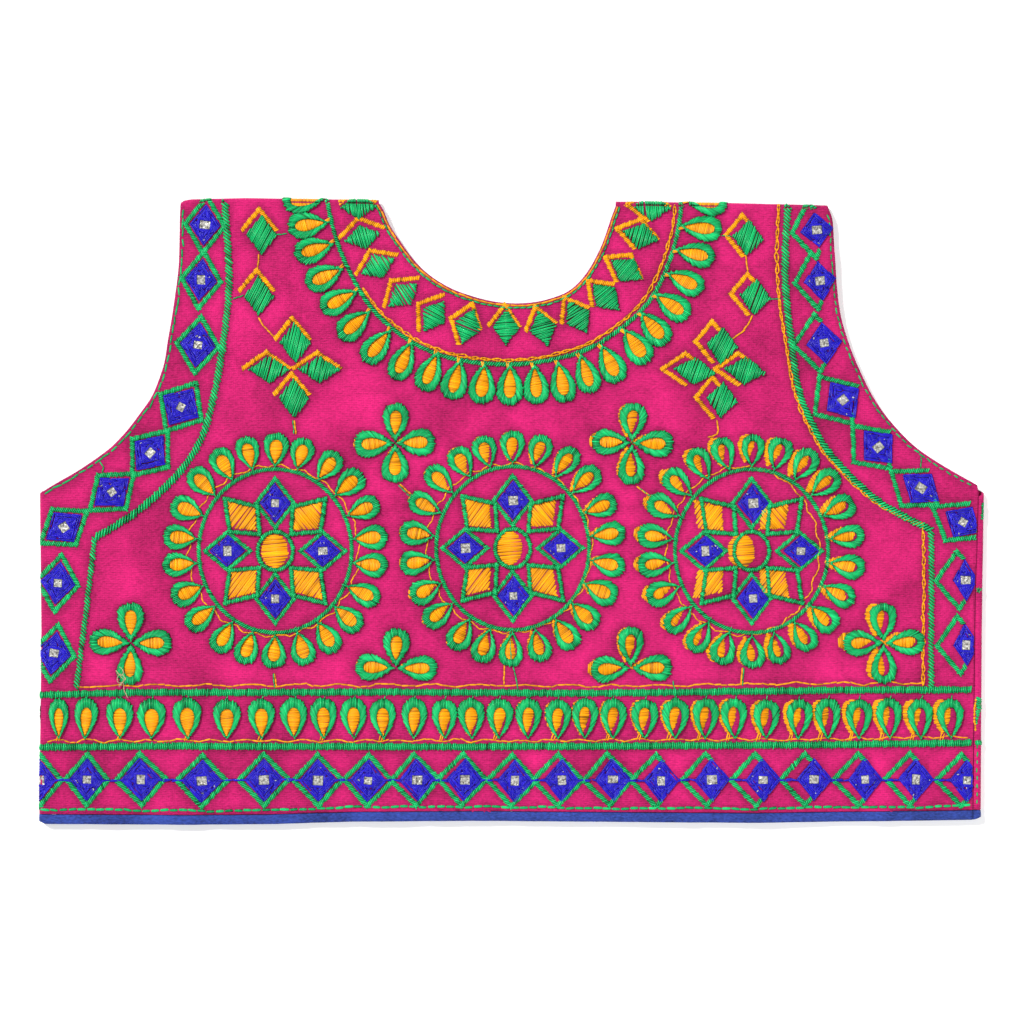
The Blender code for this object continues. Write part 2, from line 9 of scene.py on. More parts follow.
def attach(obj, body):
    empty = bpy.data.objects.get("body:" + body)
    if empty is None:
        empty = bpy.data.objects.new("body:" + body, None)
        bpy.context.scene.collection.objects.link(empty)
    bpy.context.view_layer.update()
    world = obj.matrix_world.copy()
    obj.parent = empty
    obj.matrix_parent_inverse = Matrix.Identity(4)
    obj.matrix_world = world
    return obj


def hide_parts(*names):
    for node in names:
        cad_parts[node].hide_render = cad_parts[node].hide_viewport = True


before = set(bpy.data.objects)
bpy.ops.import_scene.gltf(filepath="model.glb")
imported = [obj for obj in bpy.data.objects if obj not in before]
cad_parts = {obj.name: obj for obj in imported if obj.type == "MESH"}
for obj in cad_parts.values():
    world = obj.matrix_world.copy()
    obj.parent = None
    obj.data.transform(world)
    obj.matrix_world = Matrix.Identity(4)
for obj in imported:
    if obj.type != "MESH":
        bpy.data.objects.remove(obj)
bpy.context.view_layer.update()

# Back panel: one whole piece of deep pink plain-weave cotton. It turns under at the left
# side and at both shoulders, and lies creased on the two fronts. Sizes are in millimetres.
CLOTH = 1.2
FOLD_INNER = 0.8
FOLD_OUTER = FOLD_INNER + CLOTH
FOLD_LENGTH = math.pi * (FOLD_INNER + CLOTH / 2)
EDGE_HEIGHT = CLOTH + 2 * FOLD_INNER
BACK_HEIGHT = 2.4
SAGGED_HEIGHT = 0.6
SHOWN_WALL = 0.9
TUCK = 5.0
FRONT_NECK_DEPTH = 108.0
FRONT_NECK_HALF = {"left": 67.5, "right": 56.0}
LEFT_SIDE = {-160: -240.0, -60: -238.9, 9: -239.6}
RIGHT_SIDE = {-160: 238.4, -60: 239.0, 9: 240.0}
SIDE_SEAM = {-160: 234.0, -45: 235.2, 9: 237.0}
SHOULDERS = {
    -168: 156.9, -166: 158.2, -162: 158.7, -135: 159.3, -70: 158.3, 54: 157.5, 110: 156.8,
    160: 155.6,
}
HEM = {
    -240: -158.6, -160: -159.0, -120: -158.6, -80: -157.4, -20: -157.0, 60: -157.6,
    120: -158.0, 200: -157.0, 240: -156.4,
}
BINDING_WIDTH = 4.8
SEAM_GAP = 0.3
LEFT_ARMHOLE = [
    (-168.0, 155.5), (-168.3, 147.9), (-168.7, 129.6), (-169.7, 117.5), (-172.3, 99.2),
    (-174.3, 87.0), (-176.3, 74.8), (-180.4, 62.7), (-183.6, 56.6), (-188.0, 50.5),
    (-192.6, 44.4), (-197.6, 38.3), (-203.7, 32.2), (-211.8, 26.1), (-221.0, 20.0),
    (-231.6, 14.0), (-239.6, 9.0),
]
RIGHT_ARMHOLE = [
    (236.4, 13.4), (224.5, 20.0), (214.4, 26.1), (205.8, 32.2), (199.2, 38.3), (193.6, 44.4),
    (188.5, 50.5), (184.4, 56.6), (180.9, 62.7), (175.3, 74.8), (170.7, 87.0), (167.2, 99.2),
    (165.4, 111.4), (164.5, 123.6), (163.7, 135.7), (162.9, 147.9), (160.6, 154.4),
]
NECK_EDGE = [
    (-67.4, 156.6), (-65.2, 153.4), (-61.6, 144.9), (-56.6, 137.3), (-51.5, 130.1),
    (-46.4, 124.3), (-41.4, 120.0), (-36.3, 116.5), (-31.2, 113.7), (-26.1, 111.5),
    (-16.0, 108.3), (-6.0, 106.3), (4.0, 105.8), (14.5, 106.9), (24.6, 109.9), (29.9, 112.7),
    (34.8, 117.0), (39.8, 123.6), (44.9, 133.2), (48.0, 141.2), (50.4, 148.4), (53.0, 155.4),
]
# Each row: both ends of a crease, its width and its height.
CREASE_GAIN = 2.1
CREASES = [
    (-8, 12, -6, -120, 6, -0.7), (-28, 70, -24, 38, 8, -0.6), (-150, 82, -100, 104, 12, 1.2),
    (-135, 45, -104, 66, 13, 1.0), (-226, -12, -180, -24, 11, 1.0),
    (-174, -64, -158, -88, 7, 0.9), (30, -82, 68, -52, 9, 1.1), (-50, -82, -78, -48, 9, 0.9),
    (58, 56, 90, 28, 10, 1.1), (66, 46, 74, 8, 6, -0.6), (112, 104, 130, 60, 11, 1.0),
    (176, -4, 208, -50, 12, 1.2), (86, -90, 170, -86, 8, 0.9), (-64, 52, -40, 60, 10, 0.9),
    (150, 50, 172, 34, 9, 0.8), (-110, 140, -120, 112, 9, 0.8),
    (-20, 62, -34, 40, 5, 0.8), (16, 60, 24, 34, 5, 0.8), (-52, 22, -66, 4, 6, 0.8),
    (70, -20, 84, -44, 6, 0.8), (-74, -20, -60, -40, 6, 0.8), (-96, 40, -84, 22, 6, 0.8),
    (150, 20, 166, 4, 6, 0.9), (-170, 30, -150, 12, 6, 0.8), (44, -60, 66, -70, 5, 0.8),
    (-196, -36, -176, -50, 6, 0.8), (96, 52, 84, 30, 6, 0.9), (-10, -64, 6, -86, 5, 0.7),
]
KNOTS = 256


def at(rows, along):
    """The value of a table at a place between its keys."""
    return np.interp(along, list(rows), list(rows.values()))


def soft_step(share):
    share = np.clip(share, 0, 1)
    return share * share * (3 - 2 * share)


def unevenness(x, y, size, seed):
    """Smooth random heights from -1 to 1 that change over about the given size."""
    knots = np.random.RandomState(seed).uniform(-1, 1, (KNOTS, KNOTS))
    u, v = x / size + 100, y / size + 100
    i, j = np.floor(u).astype(int), np.floor(v).astype(int)
    s, t = soft_step(u - i), soft_step(v - j)
    low, high = (
        knots[i % KNOTS, row % KNOTS] * (1 - s) + knots[(i + 1) % KNOTS, row % KNOTS] * s
        for row in (j, j + 1)
    )
    return low * (1 - t) + high * t


def inner_height(x, y):
    """Height of the back's inner face where it lies on the fronts, or sags inside their neck."""
    from_edge = np.minimum(x - at(LEFT_SIDE, y), at(RIGHT_SIDE, y) - x)
    from_edge = np.minimum(from_edge, at(SHOULDERS, x) - y)
    rise = 0.3 + 0.95 * unevenness(x + 0.4 * y, y, 21, 1) + 0.36 * unevenness(x, y * 1.5, 9, 2)
    for x0, y0, x1, y1, width, height in CREASES:
        run = math.hypot(x1 - x0, y1 - y0)
        along = ((x - x0) * (x1 - x0) + (y - y0) * (y1 - y0)) / run**2
        off = np.abs((x - x0) * (y1 - y0) - (y - y0) * (x1 - x0)) / run
        profile = soft_step(1 - np.abs(along - 0.5)) * np.exp(-((off / width) ** 2))
        rise = rise + CREASE_GAIN * height * profile
    inside = soft_step((from_edge - 4) / 22)
    height = np.maximum(EDGE_HEIGHT + inside * (BACK_HEIGHT - EDGE_HEIGHT + rise), CLOTH + SEAM_GAP)
    neck_half = np.where(x < 0, FRONT_NECK_HALF["left"], FRONT_NECK_HALF["right"])
    reach = np.hypot(x / neck_half, (at(SHOULDERS, 0) - y) / FRONT_NECK_DEPTH)
    sag = soft_step((0.93 - reach) / 0.30) * soft_step((at(SHOULDERS, x) - y - 4) / 20)
    return height + sag * (SAGGED_HEIGHT + 0.4 * rise * inside - height)


def lay_back(flat):
    """Places flat (x, y, lift) points over the back and round its folds, which press flat
    what lies in them, in metres."""
    x, y, lift = np.asarray(flat, float).T
    place = np.stack([x, y, inner_height(x, y) + CLOTH + lift], 1)
    middle = CLOTH + FOLD_INNER
    for axis, over, outward in (
        (0, at(LEFT_SIDE, y) + FOLD_OUTER - x, -1),
        (1, y - at(SHOULDERS, x) + FOLD_OUTER, 1),
    ):
        fold = (x, y)[axis] - outward * over
        angle = math.pi * np.minimum(over, FOLD_LENGTH) / FOLD_LENGTH
        radius = FOLD_OUTER + lift * soft_step((2.0 - angle) / 1.6)
        beyond = np.maximum(over - FOLD_LENGTH, 0)
        turned = over > 0
        place[turned, axis] = (fold + outward * (radius * np.sin(angle) - beyond))[turned]
        place[turned, 2] = (middle + radius * np.cos(angle))[turned]
    return place * 0.001


def rounded(points, step):
    """A smooth line through the points, with its own points about a step apart."""
    line = []
    for i in range(len(points) - 1):
        before = np.array(points[max(i - 1, 0)], float)
        start, end = np.array(points[i], float), np.array(points[i + 1], float)
        after = np.array(points[min(i + 2, len(points) - 1)], float)
        count = max(1, round(np.linalg.norm(end - start) / step))
        for t in np.arange(count) / count:
            bend = (2 * before - 5 * start + 4 * end - after) * t * t / 2
            swing = (3 * start - before - 3 * end + after) * t**3 / 2
            line.append(start + (end - before) * t / 2 + bend + swing)
    line.append(np.array(points[-1], float))
    return np.array(line)


def span(start, end, step):
    """Even places from start to end, about a step apart."""
    return np.linspace(start, end, max(1, math.ceil(abs(end - start) / step)) + 1)


def hem_edge(x):
    """Where the cloth ends over the binding."""
    return at(HEM, x) + BINDING_WIDTH + SEAM_GAP


def flush(x, y):
    return 0 * x


def add_piece(name, mesh, material):
    """A finished mesh as a piece of the jacket's one body."""
    mesh.materials.append(material)
    piece = bpy.data.objects.new(name, mesh)
    bpy.context.collection.objects.link(piece)
    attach(piece, "root")
    return piece


def laid_cloth(name, bm, lay, thickness, material, rise=flush):
    """Lays a flat grid of cloth, a front's face down, and gives it its thickness inwards."""
    x, y = np.array([v.co[:2] for v in bm.verts]).T
    placed = lay(np.column_stack([x, y, rise(x, y)]))
    for vert, place in zip(bm.verts, placed):
        vert.co = place
    if lay is not lay_back:
        bmesh.ops.reverse_faces(bm, faces=bm.faces)
    mesh = bpy.data.meshes.new(name)
    bm.to_mesh(mesh)
    bm.free()
    mesh.shade_smooth()
    piece = add_piece(name, mesh, material)
    wall = piece.modifiers.new("wall", "SOLIDIFY")
    wall.thickness = thickness * 0.001
    wall.offset = -1
    return piece


def cut_cloth(name, outline, step, extra, lay, material):
    """Cuts a flat outline into a fine grid and lays it."""
    bm = bmesh.new()
    bm.faces.new([bm.verts.new((x, y, 0)) for x, y in outline])
    low, high = np.min(outline, 0), np.max(outline, 0)
    for axis, normal in ((0, (1, 0, 0)), (1, (0, 1, 0))):
        places = sorted([*np.arange(low[axis] + step, high[axis], step), *extra[axis]])
        for place in places:
            ahead = [f for f in bm.faces if max(v.co[axis] for v in f.verts) > place]
            edges = {e for f in ahead for e in f.edges}
            geometry = [*{v for f in ahead for v in f.verts}, *edges, *ahead]
            point = Vector(normal) * place
            bmesh.ops.bisect_plane(bm, geom=geometry, dist=1e-4, plane_co=point, plane_no=normal)
    bmesh.ops.remove_doubles(bm, verts=bm.verts, dist=0.12)
    bmesh.ops.triangulate(bm, faces=[f for f in bm.faces if len(f.verts) > 4])
    bm.normal_update()
    bmesh.ops.reverse_faces(bm, faces=[f for f in bm.faces if f.normal.z < 0])
    return laid_cloth(name, bm, lay, SHOWN_WALL, material)


def node_group(name, inputs, outputs):
    """An empty group of shader nodes with named inputs and outputs."""
    group = bpy.data.node_groups.new(name, "ShaderNodeTree")
    for label, kind, value in inputs:
        socket = group.interface.new_socket(label, in_out="INPUT", socket_type=kind)
        socket.default_value = value
    for label, kind in outputs:
        group.interface.new_socket(label, in_out="OUTPUT", socket_type=kind)
    return group, group.nodes.new("NodeGroupInput"), group.nodes.new("NodeGroupOutput")


def wire(tree, start, end):
    tree.links.new(start, end)


def set_inputs(node, values):
    for label, value in values.items():
        node.inputs[label].default_value = value


def maths(tree, operation, first, second=None, third=None):
    """A maths node whose inputs are sockets or plain numbers."""
    node = tree.nodes.new("ShaderNodeMath")
    node.operation = operation
    for socket, value in zip(node.inputs, (first, second, third)):
        if isinstance(value, bpy.types.NodeSocket):
            wire(tree, value, socket)
        elif value is not None:
            socket.default_value = value
    return node.outputs[0]


def noise(tree, place, scale, detail=2.0):
    node = tree.nodes.new("ShaderNodeTexNoise")
    set_inputs(node, {"Scale": scale, "Detail": detail})
    wire(tree, place, node.inputs["Vector"])
    return node.outputs["Fac"]


def shaded(tree, colour, amount):
    """The colour made lighter or darker by an amount around nought."""
    node = tree.nodes.new("ShaderNodeHueSaturation")
    wire(tree, colour, node.inputs["Color"])
    wire(tree, maths(tree, "ADD", amount, 1.0), node.inputs["Value"])
    return node.outputs["Color"]


def bumped(tree, heights, distance, strength=1.0):
    """The normal of a surface with these heights, over a distance in metres."""
    node = tree.nodes.new("ShaderNodeBump")
    set_inputs(node, {"Strength": strength, "Distance": distance})
    wire(tree, heights, node.inputs["Height"])
    return node.outputs["Normal"]


def new_finish(name, values):
    """A material, its tree of nodes and its surface, with the surface's plain values set."""
    material = bpy.data.materials.new(name)
    material.use_nodes = True
    tree = material.node_tree
    surface = tree.nodes["Principled BSDF"]
    set_inputs(surface, values)
    return material, tree, surface


def spun(tree, group, colour, values):
    """A group of thread nodes placed in a material, with its own colour and values."""
    node = tree.nodes.new("ShaderNodeGroup")
    node.node_tree = group
    set_inputs(node, {"Colour": (*colour, 1), **values})
    return node


# Weave group: weft threads across and finer warp threads down, each a little uneven, with painted patches
# of light and shade and painted crease shade over the whole cloth.
weave, put, got = node_group(
    "woven threads with painted shade",
    [("Colour", "NodeSocketColor", (1, 1, 1, 1)), ("Weft", "NodeSocketFloat", 1.15),
     ("Depth", "NodeSocketFloat", 0.1)],
    [("Colour", "NodeSocketColor"), ("Normal", "NodeSocketVector")],
)
where = weave.nodes.new("ShaderNodeTexCoord").outputs["Object"]
axes = weave.nodes.new("ShaderNodeSeparateXYZ")
wire(weave, where, axes.inputs[0])
wander = maths(weave, "MULTIPLY", noise(weave, where, 60, 1), 0.0016)
waves = []
for axis, share in (("Y", 0.001), ("X", 0.0008)):
    place = maths(weave, "ADD", axes.outputs[axis], wander)
    thread = maths(weave, "MULTIPLY", put.outputs["Weft"], share / (2 * math.pi))
    waves.append(maths(weave, "SINE", maths(weave, "DIVIDE", place, thread)))
wefts, warps = waves
threads = maths(weave, "MULTIPLY_ADD", warps, 0.20, maths(weave, "MULTIPLY", wefts, 0.34))
slubs = weave.nodes.new("ShaderNodeVectorMath")
slubs.operation = "MULTIPLY"
slubs.inputs[1].default_value = (0.45, 1, 1)
wire(weave, where, slubs.inputs[0])
fuzz = maths(weave, "SUBTRACT", noise(weave, slubs.outputs[0], 1300, 3), 0.5)
threads = maths(weave, "ADD", threads, maths(weave, "MULTIPLY", fuzz, 4.8))
# Painted light and shade: soft lighter and darker patches, and thin dark wavy lines of painted crease
# shade, over the whole cloth.
painted_light_patches = maths(weave, "SUBTRACT", noise(weave, where, 30, 4), 0.5)
crease_line_distance = maths(weave, "ABSOLUTE", maths(weave, "SUBTRACT", noise(weave, where, 17, 3), 0.5))
painted_crease_shade = maths(weave, "MINIMUM", maths(weave, "MULTIPLY_ADD", crease_line_distance, 3.0, -0.13), 0.0)
painted_light_patches = maths(weave, "ADD", painted_light_patches, painted_crease_shade)
tint = maths(weave, "MULTIPLY", threads, put.outputs["Depth"])
tint = maths(weave, "MULTIPLY_ADD", painted_light_patches, 1.25, tint)
wire(weave, shaded(weave, put.outputs["Colour"], tint), got.inputs["Colour"])
wire(weave, bumped(weave, threads, 0.00012), got.inputs["Normal"])


def cloth_finish(name, colour, weft, depth, roughness, painted_stitch_shade=0.0):
    """Woven cloth with a dull sheen, painted light and shade in patches and along creases, and painted
    shade near the stitching.
    """
    material, tree, surface = new_finish(name, {
        "Roughness": roughness, "Sheen Weight": 0.06, "Sheen Roughness": 0.5,
        "Specular IOR Level": 0.12,
    })
    threads = spun(tree, weave, colour, {"Weft": weft, "Depth": depth})
    shade = threads.outputs["Colour"]
    # Painted shade: the cloth colour is darker where it lies near a stitch.
    if painted_stitch_shade:
        stitch_shade = tree.nodes.new("ShaderNodeAttribute")
        stitch_shade.attribute_name = "painted_stitch_shade"
        shade = shaded(tree, shade, maths(tree, "MULTIPLY", stitch_shade.outputs["Fac"], -painted_stitch_shade))
    wire(tree, shade, surface.inputs["Base Color"])
    wire(tree, threads.outputs["Normal"], surface.inputs["Normal"])
    return material


PINK = (0.482, 0.0100, 0.119)
pink_cotton = cloth_finish("pink_cotton", PINK, 1.15, 0.22, 0.8, 0.34)
wrap_end = LEFT_SIDE[-60] + FOLD_OUTER - FOLD_LENGTH - TUCK
left_arm, right_arm = rounded(LEFT_ARMHOLE, 1.6), rounded(RIGHT_ARMHOLE, 1.6)
neck_edge = rounded(NECK_EDGE, 1.6)
shoulder_top = [
    (x, at(SHOULDERS, x) - FOLD_OUTER + FOLD_LENGTH + TUCK)
    for x in (right_arm[-1][0], neck_edge[-1][0], neck_edge[0][0], left_arm[0][0])
]
back_outline = [
    *[(x, hem_edge(x)) for x in span(wrap_end, SIDE_SEAM[-160] + 0.05, 3)],
    *[(at(SIDE_SEAM, y), y) for y in span(-140, 13.4, 4)][:-1],
    *right_arm, *shoulder_top[:2], *neck_edge[::-1], *shoulder_top[2:], *left_arm,
    *[(wrap_end, y) for y in span(9, -140, 8)],
]
fold_cuts = np.linspace(0, FOLD_LENGTH, 8)
back_cuts = (
    [LEFT_SIDE[-60] + FOLD_OUTER - cut for cut in fold_cuts],
    [157.4 - FOLD_OUTER + cut for cut in fold_cuts],
)
back_cloth = cut_cloth("back_cloth", back_outline, 2.0, back_cuts, lay_back, pink_cotton)
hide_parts("back_panel")


# Fronts: two plain pieces of the same cotton, flat on the surface under the back. The right
# one is cut wider, so it turns up round the body's side and is sewn to the back on top.
FRONT_INSET = 3.0
CENTRE_OPENING = 1.0
FRONT_NECK_TOP = 157.9
plain_cotton = cloth_finish("plain_cotton", PINK, 1.15, 0.22, 0.8)
front_left_end = LEFT_SIDE[-60] + FOLD_OUTER + TUCK + SEAM_GAP


def lay_front(flat):
    """Places flat points over a front's outer face, which turns up round the right side."""
    x, y, lift = np.asarray(flat, float).T
    place = np.stack([x, y, 0 * x], 1)
    fold = at(RIGHT_SIDE, y) - FOLD_OUTER
    over = x - fold
    angle = math.pi * np.minimum(over, FOLD_LENGTH) / FOLD_LENGTH
    radius = FOLD_OUTER + lift * soft_step((angle - 1.2) / 1.2)
    beyond = np.maximum(over - FOLD_LENGTH, 0)
    turned = over > 0
    place[turned, 0] = (fold + radius * np.sin(angle) - beyond)[turned]
    place[turned, 2] = (CLOTH + FOLD_INNER - radius * np.cos(angle))[turned]
    return place * 0.001


def turned_up(x, y):
    """The flat place across the right front that lies at x once it is turned up, and back."""
    return 2 * (at(RIGHT_SIDE, y) - FOLD_OUTER) + FOLD_LENGTH - x


def front_end(y):
    """The flat place where the right front, turned up round the side, meets the back."""
    return turned_up(at(SIDE_SEAM, y), y) - SEAM_GAP


sheets = {"back": (back_cloth, back_outline, ["left_front_cloth", "right_front_cloth"])}
for side, sign, arm_line in (("left", -1, left_arm[::-1]), ("right", 1, right_arm)):
    neck_half = FRONT_NECK_HALF[side]
    arm = [(x - sign * FRONT_INSET, y) for x, y in arm_line]
    if side == "left":
        hem_end = front_left_end
        edge = [(hem_end, 9.0)]
        arm = [place for place in arm if place[0] > hem_end + 4]
        cuts = ([], [])
    else:
        hem_end = front_end(-155)
        edge = [(front_end(y), y) for y in span(-140, 7.5, 8)]
        arm = [place for place in arm if place[0] < at(RIGHT_SIDE, 0) - FOLD_OUTER - 1]
        side_cuts = [RIGHT_SIDE[-60] - FOLD_OUTER + cut for cut in fold_cuts]
        cuts = (side_cuts, [])
    top_inset = FOLD_OUTER + TUCK + SEAM_GAP
    tops = [(x, at(SHOULDERS, x) - top_inset) for x in (arm[-1][0], sign * neck_half)]
    arm = [place for place in arm if place[1] < tops[0][1] - 1]
    scoop = []
    for turn in np.linspace(math.pi / 2, 0, 30)[1:]:
        x = max(neck_half * math.sin(turn), CENTRE_OPENING / 2)
        scoop.append((sign * x, FRONT_NECK_TOP - FRONT_NECK_DEPTH * math.cos(turn)))
    hem = [(x, hem_edge(x)) for x in span(sign * CENTRE_OPENING / 2, hem_end, 4)]
    outline = [*hem, *edge, *arm, *tops, *scoop][::sign]
    front = cut_cloth(f"{side}_front_cloth", outline, 5.0, cuts, lay_front, plain_cotton)
    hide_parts(f"{side}_front_panel")
    sheets[side] = (front, outline, ["floor"])

# Hem binding: a royal blue twill strip folded over the raw hem and sewn down, so it is a
# little puffy. One strip goes along the back and round its left side, and one on each front.
BINDING_WALL = 1.1
BINDING_PUFF = 0.5
CORNER_RISE = 1.6
CORNERS = {"back": -240.0, "left": -300.0, "right": RIGHT_SIDE[-160] - FOLD_OUTER + FOLD_LENGTH / 2}
blue_twill = cloth_finish("blue_twill", (0.026, 0.052, 0.27), 0.62, 0.36, 0.6)


def binding_rise(x, y):
    """How far the strip stands over the cloth's face: rolled at both edges, puffy between."""
    share = (y - at(HEM, x)) / BINDING_WIDTH
    return BINDING_PUFF * (1 - np.abs(2 * share - 1) ** 3.5) - 0.15 + 0.12 * unevenness(x, y, 5, 3)


for name, start, end, lay, cuts in (
    ("back", wrap_end, SIDE_SEAM[-160] + 0.05, lay_back, back_cuts[0]),
    ("left", front_left_end, -CENTRE_OPENING / 2, lay_front, []),
    ("right", CENTRE_OPENING / 2, front_end(-155), lay_front, side_cuts),
):
    columns = np.unique(np.round([*span(start, end, 2), *cuts], 2))
    bm = bmesh.new()
    bmesh.ops.create_grid(bm, x_segments=len(columns) - 1, y_segments=10, size=1)
    for vert in bm.verts:
        x = np.interp((vert.co.x + 1) / 2 * (len(columns) - 1), range(len(columns)), columns)
        corner = CORNER_RISE * soft_step(1 - abs(x - CORNERS[name]) / 4)
        share = (vert.co.y + 1) / 2
        vert.co = (x, at(HEM, x) + corner + (BINDING_WIDTH - corner) * share, 0)
    strip = laid_cloth(f"{name}_binding", bm, lay, BINDING_WALL, blue_twill, binding_rise)
    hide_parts(f"{name}_hem_binding")
    cloth, cut, under = sheets[name]
    size = np.ptp(cut, 0) / 1000

# Couched cords: a thick thread laid on the cloth and covered with green rayon satin stitch.
# One runs inside each armhole and down the side, one round the neck, and two over the hem.
STITCH_PITCH = 0.95
END_RISE = 0.5
SHOULDER_REACH = 3.2
ARCH = np.array([-0.3, 0.78, 1.0, 0.78, -0.3])
TAPER = np.array([0.35, 0.9, 1.0, 0.9, 0.35])
# Painted shade at both ends of each stitch and a painted highlight over its middle, added to its tone.
END_SHADE = np.repeat([-0.85, 0.0, 0.22, 0.0, -0.85], 3)
stitched = []
chance = np.random.RandomState(7)

# Twist group: the fine slanting plies of a thread, and the shade between it and the next.
twist, put, got = node_group(
    "twisted thread",
    [("Colour", "NodeSocketColor", (1, 1, 1, 1)), ("Gap shade", "NodeSocketFloat", 0.6)],
    [("Colour", "NodeSocketColor"), ("Normal", "NodeSocketVector")],
)
place = twist.nodes.new("ShaderNodeUVMap")
place.uv_map = "thread"
axes = twist.nodes.new("ShaderNodeSeparateXYZ")
wire(twist, place.outputs["UV"], axes.inputs[0])
slant = maths(twist, "MULTIPLY", axes.outputs["Y"], 1.3)
lay_of_ply = maths(twist, "MULTIPLY_ADD", axes.outputs["X"], 1.8, slant)
plies = maths(twist, "SINE", maths(twist, "MULTIPLY", lay_of_ply, 2 * math.pi))
from_crest = maths(twist, "ABSOLUTE", maths(twist, "MULTIPLY_ADD", axes.outputs["Y"], 2.0, -1.0))
gap = maths(twist, "MULTIPLY", maths(twist, "POWER", from_crest, 1.7), put.outputs["Gap shade"])
shade = twist.nodes.new("ShaderNodeAttribute")
shade.attribute_name = "shade"
tint = maths(twist, "SUBTRACT", maths(twist, "MULTIPLY_ADD", plies, 0.06, shade.outputs["Fac"]), gap)
wire(twist, shaded(twist, put.outputs["Colour"], tint), got.inputs["Colour"])
wire(twist, bumped(twist, plies, 0.0001, 0.4), got.inputs["Normal"])


def thread_finish(name, colour, roughness, gap_shade):
    """Shiny embroidery thread."""
    values = {"Roughness": roughness, "Specular IOR Level": 0.17}
    material, tree, surface = new_finish(name, values)
    strands = spun(tree, twist, colour, {"Gap shade": gap_shade})
    wire(tree, strands.outputs["Colour"], surface.inputs["Base Color"])
    wire(tree, strands.outputs["Normal"], surface.inputs["Normal"])
    return material


green_thread = thread_finish("green_thread", (0.006, 0.395, 0.114), 0.28, 1.0)


def stitch_rows(start, end, width, height, base, spread=0.22):
    """Stitches from start points to end points, as rows of x, y, x, y, width, height, base, shade."""
    count = len(start)
    tone = chance.normal(0, spread, count)
    columns = [np.broadcast_to(value, count) for value in (width, height, base)]
    return np.column_stack([start, end, *columns, tone])


def distances(line):
    """How far along a line each of its points is."""
    return np.concatenate([[0], np.cumsum(np.linalg.norm(np.diff(line, axis=0), axis=1))])


def on_line(line, places):
    """The points of a line at distances along it."""
    along = distances(line)
    return np.column_stack([np.interp(places, along, axis) for axis in np.asarray(line).T])


def satin(line, width, slant=0.0, height=0.8, base=0.0, ragged=0.25, pitch=STITCH_PITCH, full=1.08):
    """Stitches across a line, side by side, at a slant in degrees, with ragged ends."""
    length = distances(line)[-1]
    count = max(2, round(length / pitch))
    places = (np.arange(count) + 0.5) * length / count
    centre, before, after = (on_line(line, places + off) for off in (0, -0.6, 0.6))
    ahead = (after - before) / np.linalg.norm(after - before, axis=1)[:, None]
    side = np.column_stack([-ahead[:, 1], ahead[:, 0]]) + ahead * math.tan(math.radians(slant))
    reach = width / 2 + chance.uniform(-ragged, ragged, (2, count, 1))
    thick = pitch * math.cos(math.radians(slant)) * full
    return stitch_rows(centre - side * reach[0], centre + side * reach[1], thick, height, base)


def over_shoulder(rows):
    """The stitches parted where the shoulder fold begins, and ended where it hides them."""
    rows = rows.copy()
    downward = rows[:, 1] > rows[:, 3]
    rows[downward, :4] = rows[downward][:, [2, 3, 0, 1]]
    rows = rows[rows[:, 1] < at(SHOULDERS, rows[:, 2]) - FOLD_OUTER + SHOULDER_REACH - 0.2]
    fold = at(SHOULDERS, rows[:, 2]) - FOLD_OUTER
    run = np.maximum(rows[:, 3] - rows[:, 1], 0.01)[:, None]
    begun, ended = (
        rows[:, :2] + (rows[:, 2:4] - rows[:, :2]) * (fold + past - rows[:, 1])[:, None] / run
        for past in (0, SHOULDER_REACH)
    )
    far = rows[:, 3] > fold + SHOULDER_REACH
    rows[far, 2:4] = ended[far]
    crossing = (rows[:, 1] < fold - 0.3) & (rows[:, 3] > fold + 0.3)
    beyond = rows[crossing].copy()
    beyond[:, :2] = begun[crossing]
    rows[crossing, 2:4] = begun[crossing]
    return np.vstack([rows, beyond])


def up_to_seam(rows):
    """The stitches as far as the side seam, where the back's cloth ends."""
    limit = at(SIDE_SEAM, rows[:, 1]) - 0.4
    start, end = rows[:, 0:2], rows[:, 2:4]
    for a, b in ((start, end), (end, start)):
        over = (a[:, 0] > limit) & (b[:, 0] < limit)
        a[over] = b[over] + (a - b)[over] * ((limit - b[:, 0])[over] / (a - b)[over, 0])[:, None]
    return rows[np.maximum(start[:, 0], end[:, 0]) < limit + 0.01]


